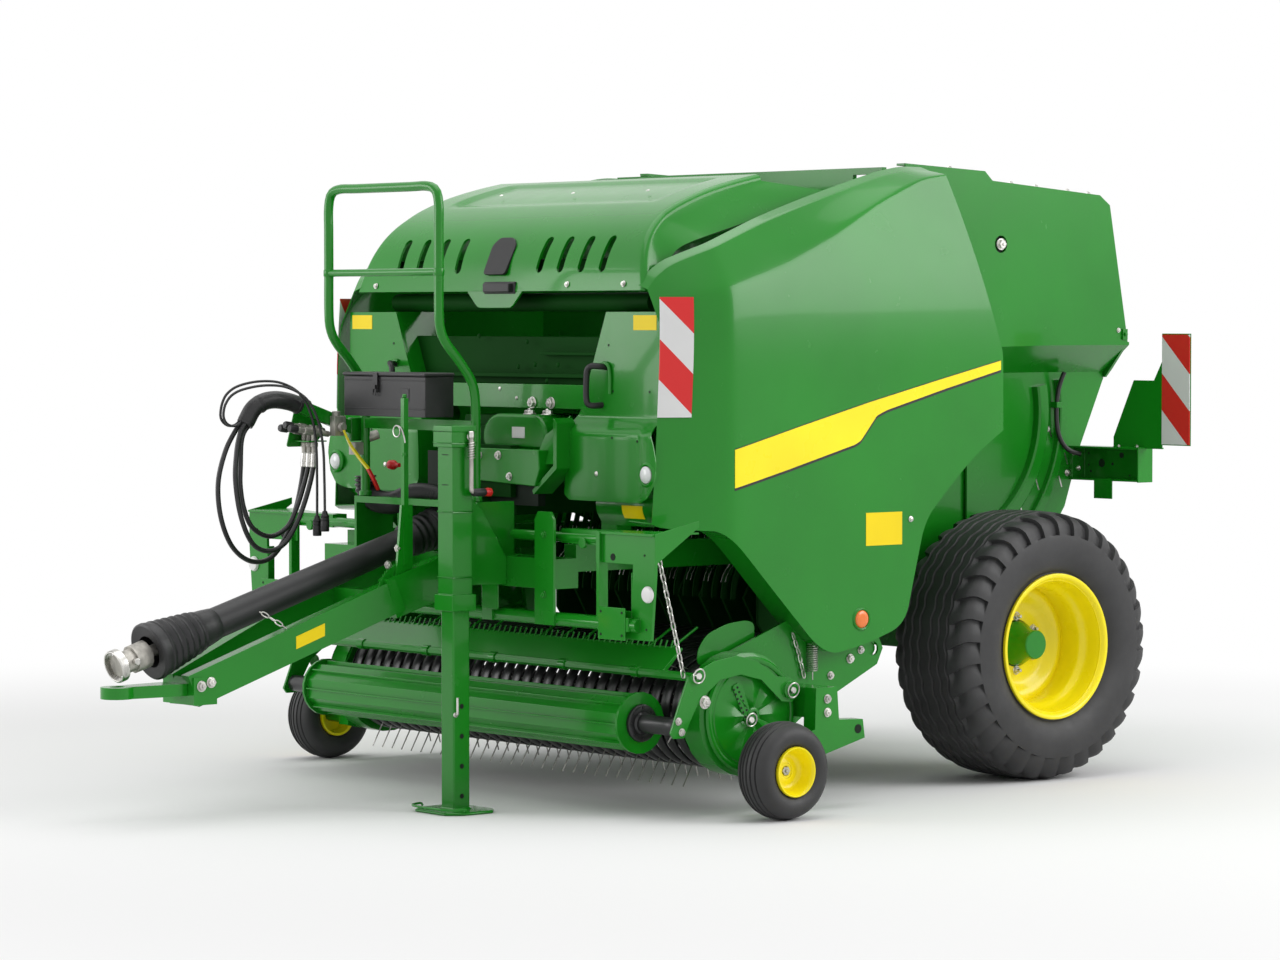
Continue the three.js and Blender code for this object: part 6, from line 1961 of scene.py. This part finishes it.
@dataclass
class FrontFrame:
    """The folded bracket frames either side of the stand, their cross tubes, strap, holes and reflectors."""

    def build(self) -> None:
        """Refined frame, then plates, strap, holes, lenses, bolts and tubes."""
        refine("front_bars", GREEN, "chassis", 0.005)
        outline = [(-2.1565, 0.900), (-2.1565, 0.700), (-2.1250, 0.700), (-2.1250, 0.900)]
        flange = prism(bent(outline, 0.002), "x", 1.1300, 1.1345)
        ears = [block(0.983, 1.135, -2.1900, -2.1850, 0.657, 0.774),
                block(1.130, 1.150, -2.1870, -2.150, 0.690, 0.740)]
        lip = [block(0.955, 1.258, -2.166, -2.1555, 1.033, 1.041)]
        make("bracket_plates", both([flange] + ears + lip), GREEN, "chassis", 0.002)
        strap = bent([(0.312, 0.731), (0.410, 0.731), (0.410, 0.985), (0.395, 1.004), (0.328, 1.004),
                      (0.312, 0.985)], 0.012)
        make("near_strap", prism(strap, "y", -2.1985, -2.1925), GREEN, "chassis", 0.002)
        # Painted shade: dark discs stand for the shadow inside the bracket holes.
        holes = [disc((x, -2.1575, z), (x, -2.1545, z), r, 16) for x, z, r in (
            (1.028, 0.952, 0.013), (1.205, 0.965, 0.004), (1.215, 0.70, 0.004))]
        holes += [disc((x, -2.1912, z), (x, -2.1895, z), 0.0050, 10) for x in (1.000, 1.118)
                  for z in (0.675, 0.757)]
        make("bracket_holes", both(holes), HOLE_SHADE, "chassis")
        lens = revolved([(-2.1565, AXIS), (-2.1690, AXIS), (-2.1690, 0.020), (-2.1675, 0.026),
                         (-2.1620, 0.030), (-2.1565, 0.030)][::-1], (1.226, 0, 0.826), "y", 40, False)
        make("bracket_reflectors", both([lens]), WHITE, "chassis")
        bolts = [bolt((x, -2.1925, z), (0, -1, 0), 0.010)
                 for x, z in ((0.336, 0.90), (0.675, 1.02), (0.675, 0.80))]
        bolts += [disc((0.850, -2.1570, 0.995), (0.850, -2.1435, 0.995), 0.020, 20, 0.002)]
        make("bracket_bolts", both(bolts), GREEN, "chassis", 0.001)
        pipes = [pipe([(0.42, -2.13, 1.010), (0.95, -2.13, 1.012)], 0.019, 18)]
        make("bracket_cross_tubes", both(pipes), GREEN, "chassis")
        self.build_throat()

    def build_throat(self) -> None:
        """The curved panels beside the throat, with a blank film on each."""
        x = np.linspace(0.600, 0.985, 24)[None, :]
        fall = np.linspace(0, 1, 12)[:, None]
        depth = np.clip((x - 0.86) / 0.125, 0, 1) ** 2
        y = -1.880 + 0.030 * np.sin(fall * np.pi / 2) + 0.10 * depth * fall - 0.022 * np.sin(fall * np.pi)
        throat = np.stack([x + 0 * fall, y + 0 * x, 1.150 - 0.106 * fall + 0 * x], axis=-1)
        sheet = slab(throat, 0.004 * normals(throat, (0, 1, 0)))
        make("throat_panels", both([sheet]), GREEN, "chassis")
        film = throat[3:9, 9:17] + [0, -0.0012, 0]
        make("throat_labels", both([slab(film, (0, 0.003, 0))]), LABEL, "chassis")

# ---------- rear ----------
@dataclass
class RearBody:
    """The tailgate with its cover, the chamber walls, ribbed channels, wiring and lift cylinders."""

    chamber: tuple[float, float] = (-0.130, 1.430)
    hinge: tuple[float, float] = (0.028, 2.102)
    cover_back: tuple[tuple[float, float], ...] = ((0.648, 2.266), (0.757, 1.707))
    skin_reach: float = 0.772
    wall: float = 0.660
    cover: float = 0.800

    def build(self) -> None:
        """The covers first, then what is fixed to them."""
        refine("rear_cover", GREEN, "tailgate", 0.005, 12)
        refine("tailgate", GREEN, "tailgate", 0.003, 14)
        refine("bale_chamber", GREEN, "chassis", 0.0015)
        for side, _ in SIDES:
            refine(f"lift_barrel_{side}", BLACK, f"lift_barrel_{side}", 0.003)
            refine(f"lift_rod_{side}", ZINC, f"lift_rod_{side}", 0.001)
        edge = self.cover
        heads = [bolt((edge - 0.020, y, z), (0, 0.08, 1), 0.008) for y, z in (
            (-0.24, 2.3980), (0.10, 2.3440), (0.24, 2.3335), (0.42, 2.3195), (0.54, 2.3105))]
        heads += [bolt((edge + 0.0005, y, z), (1, 0, 0), 0.007) for y, z in ((0.70, 1.76), (-0.26, 1.75))]
        heads += [bolt((self.wall + 0.0005, y, z), (1, 0, 0), 0.010) for y, z in (
            (0.43, 1.36), (0.52, 1.41), (0.40, 1.28), (0.55, 1.18), (0.25, 0.98), (0.05, 0.80))]
        make("tailgate_bolts", both(heads), ZINC, "tailgate")
        catch = [block(edge - 0.004, edge + 0.008, 0.720, 0.748, 1.722, 1.765),
                 disc((edge + 0.008, 0.734, 1.744), (edge + 0.016, 0.734, 1.744), 0.008, 16, 0.002)]
        make("cover_catches", both(catch), GREEN, "tailgate", 0.002)
        # Painted shade: a dark disc stands for the shadow in the well round each hinge.
        dark = disc((0.7805, *self.hinge), (0.7845, *self.hinge), 0.046, 32)
        make("hinge_wells", both([dark]), HOLE_SHADE, "chassis")
        pin = [disc((0.7955, *self.hinge), (0.7990, *self.hinge), 0.0225, 28, 0.001),
               bolt((0.7988, *self.hinge), (1, 0, 0), 0.0165)]
        make("hinge_bolts", both(pin), ZINC, "chassis")
        self.build_channels()
        self.build_wiring()
        self.build_back()

    def build_channels(self) -> None:
        """Curved channel ribs round the chamber, on each side wall, with slot marks laid between them."""
        angle = np.radians(np.linspace(-62, 12, 40))
        cy, cz = self.chamber
        ribs = []
        for radius, width, depth in ((0.520, 0.070, 0.030), (0.640, 0.050, 0.022)):
            path = np.stack([self.wall + 0 * angle, cy + radius * np.cos(angle),
                             cz + radius * np.sin(angle)], axis=-1)
            half = width / 2
            section = np.array([(-half, 0.0), (-half * 0.82, depth * 0.8), (-half * 0.6, depth),
                                (half * 0.6, depth), (half * 0.82, depth * 0.8), (half, 0.0),
                                (half, -0.002), (-half, -0.002)])
            ribs.append(swept(path, section, upward=(1, 0, 0)))
        make("chamber_ribs", both(ribs), GREEN, "tailgate", angle=30)
        marks = []
        for degrees, radius in ((-8, 0.585), (-16, 0.70), (-30, 0.585), (-24, 0.70), (-44, 0.585),
                                (-38, 0.70)):
            a = math.radians(degrees)
            place = (self.wall + 0.0002, cy + radius * math.cos(a), cz + radius * math.sin(a))
            pose = facing(place, (1, 0, 0)) @ Matrix.Rotation(0.35, 4, "Z")
            marks.append(prism(pill(0.050, 0.006), "z", -0.001, 0.0015).posed(pose))
        make("chamber_slots", both(marks), ZINC, "tailgate")

    def build_wiring(self) -> None:
        """The lighting cable in its sheath, clipped to the side wall and held at both ends."""
        route = [(0.712, 0.478, 1.590), (0.700, 0.474, 1.560), (0.688, 0.470, 1.520), (0.683, 0.466, 1.470),
                 (0.682, 0.464, 1.420), (0.683, 0.468, 1.370), (0.686, 0.480, 1.325), (0.692, 0.502, 1.290),
                 (0.704, 0.530, 1.268), (0.720, 0.566, 1.258)]
        make("lighting_cables", both([pipe(route, 0.0095, 14, 60)]), HOSE, "tailgate")
        clip = [block(0.659, 0.697, 0.452, 0.482, 1.446, 1.470)]
        make("lighting_clips", both(clip), GREEN, "tailgate", 0.002)

    def build_back(self) -> None:
        """Back of the tailgate: stiffeners across the round sheet, pressings across the cover's back."""
        angle = np.radians(np.linspace(-66, -22, 5))
        cy, cz = self.chamber
        bars = []
        for a in angle:
            y, z = cy + self.skin_reach * math.cos(a), cz + self.skin_reach * math.sin(a)
            pose = facing((0, y, z), (0, math.cos(a), math.sin(a)))
            bars.append(block(-0.56, 0.56, -0.018, 0.018, -0.002, 0.013).posed(pose))
        make("tailgate_stiffeners", bars, GREEN, "tailgate", 0.005)
        top, foot = np.array(self.cover_back)
        outward = (0.0, 0.9815, 0.1914)
        ribs = []
        for share in (0.28, 0.55, 0.82):
            pose = facing((0.0, *(top + (foot - top) * share)), outward)
            ribs.append(block(-0.68, 0.68, -0.030, 0.030, -0.003, 0.0065).posed(pose))
        make("cover_pressings", ribs, GREEN, "tailgate", 0.005)

@dataclass
class RearLights:
    """The light carriers each side of the tailgate, their holes and lamps, and the striped marker boards."""

    board_x: tuple[float, float] = (1.140, 1.288)
    board_z: tuple[float, float] = (1.306, 1.744)
    board_front: float = 0.594
    lamp_back: float = 0.640
    lamp_height: float = 1.222
    lamp_radius: float = 0.046
    turn_radius: float = 0.030

    def board(self) -> Form:
        """A marker board; its UV is the distance from its inner lower corner."""
        z, x = np.meshgrid(np.linspace(*self.board_z, 12), np.linspace(*self.board_x, 6), indexing="ij")
        grid = np.stack([x, self.board_front + 0 * x, z], axis=-1)
        return slab(grid, (0, 0.004, 0), np.stack([x - self.board_x[0], z - self.board_z[0]], axis=-1))

    def build(self) -> None:
        """Carriers, boards, holes, bolts and lamps."""
        for side, sign in SIDES:
            refine(f"light_bar_{side}", GREEN, "tailgate", 0.004)
            make(
                f"marker_board_face_{side}", handed(self.board(), sign), FILM, "tailgate",
                replaces=[f"marker_board_{side}"],
            )
        backing = [block(1.136, 1.291, 0.5985, 0.6015, 1.302, 1.748)]
        make("marker_board_backings", both(backing), GREEN, "tailgate", 0.001)
        fold = [block(0.868, 1.140, 0.5985, 0.6075, 1.286, 1.292),
                block(1.040, 1.0475, 0.558, 0.642, 1.150, 1.292)]
        make("carrier_folds", both(fold), GREEN, "tailgate", 0.0015)
        # Painted shade: dark discs stand for the shadow inside the carrier holes.
        holes = [disc((x, 0.5600, z), (x, 0.5588, z), r, 20) for x, z, r in (
            (0.845, 1.224, 0.017), (0.955, 1.258, 0.012), (0.773, 1.262, 0.004), (0.773, 1.215, 0.004),
            (0.905, 1.222, 0.006), (0.785, 1.190, 0.005), (1.000, 1.178, 0.004))]
        make("carrier_holes", both(holes), HOLE_SHADE, "tailgate")
        bolts = [bolt((x, 0.600, 1.2905), (0, 0, 1), 0.007) for x in (0.90, 1.00)]
        bolts += [bolt((x, 0.5595, z), (0, -1, 0), 0.008) for x, z in ((0.690, 1.262), (0.715, 1.200))]
        make("carrier_bolts", both(bolts), ZINC, "tailgate")
        red, amber, rings = [], [], []
        for x, radius, group in (
            (0.800, self.lamp_radius, red), (0.915, self.lamp_radius, red), (1.000, self.turn_radius, amber),
        ):
            place = (x, self.lamp_back, self.lamp_height)
            lens = [(0.0, AXIS), (0.0, radius), (0.010, radius), (0.017, radius * 0.93),
                    (0.020, radius * 0.6), (0.0205, AXIS)]
            group.append(revolved(lens, place, "y", 36, False))
            ring = [(0.0, radius * 1.01), (0.0, radius * 1.14), (0.010, radius * 1.12),
                    (0.010, radius * 1.01)]
            rings.append(revolved(ring, place, "y", 36))
        make("tail_lamps", both(red), RED, "tailgate")
        make("turn_lamps", both(amber), AMBER, "tailgate")
        make("lamp_rings", both(rings), PLASTIC, "tailgate")

# ---------- the whole machine ----------
NODE_FINISHES = {
    "tyre_rubber": TYRE, "yellow_paint": YELLOW, "green_paint": GREEN, "black_paint": BLACK,
    "hose_rubber": HOSE, "black_plastic": PLASTIC, "zinc": ZINC, "board_film": WHITE,
}

def refine_the_rest() -> None:
    """Rounds the edges of every CAD node that no piece stands for, and gives it its slot's finish."""
    slots = {part["node"]: part["material_slot"] for part in frame["record"]["subparts"]}
    for name, source in frame["nodes"].items():
        if source.hide_render:
            continue
        refine(name, NODE_FINISHES[slots[name]], body_of(source)[0])

def main() -> None:
    """Builds the machine, sub-assembly by sub-assembly."""
    logging.basicConfig(level=logging.INFO, format="%(name)s: %(message)s")
    for builder in (Studio(), HoseBundle(), FarmWheel(), GaugeWheel(), SideDoor(), FrontHood(), Pickup(),
                    CropGuard(), Intake(), FrontCowls(), GearBay(), Hoop(), Toolbox(), Stand(), Drawbar(),
                    PowerShaft(), HoseBoom(), FrontFrame(), RearBody(), RearLights()):
        builder.build()
        log.info("%s built", type(builder).__name__)
    refine_the_rest()
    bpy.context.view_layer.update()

if __name__ == "__main__":
    main()
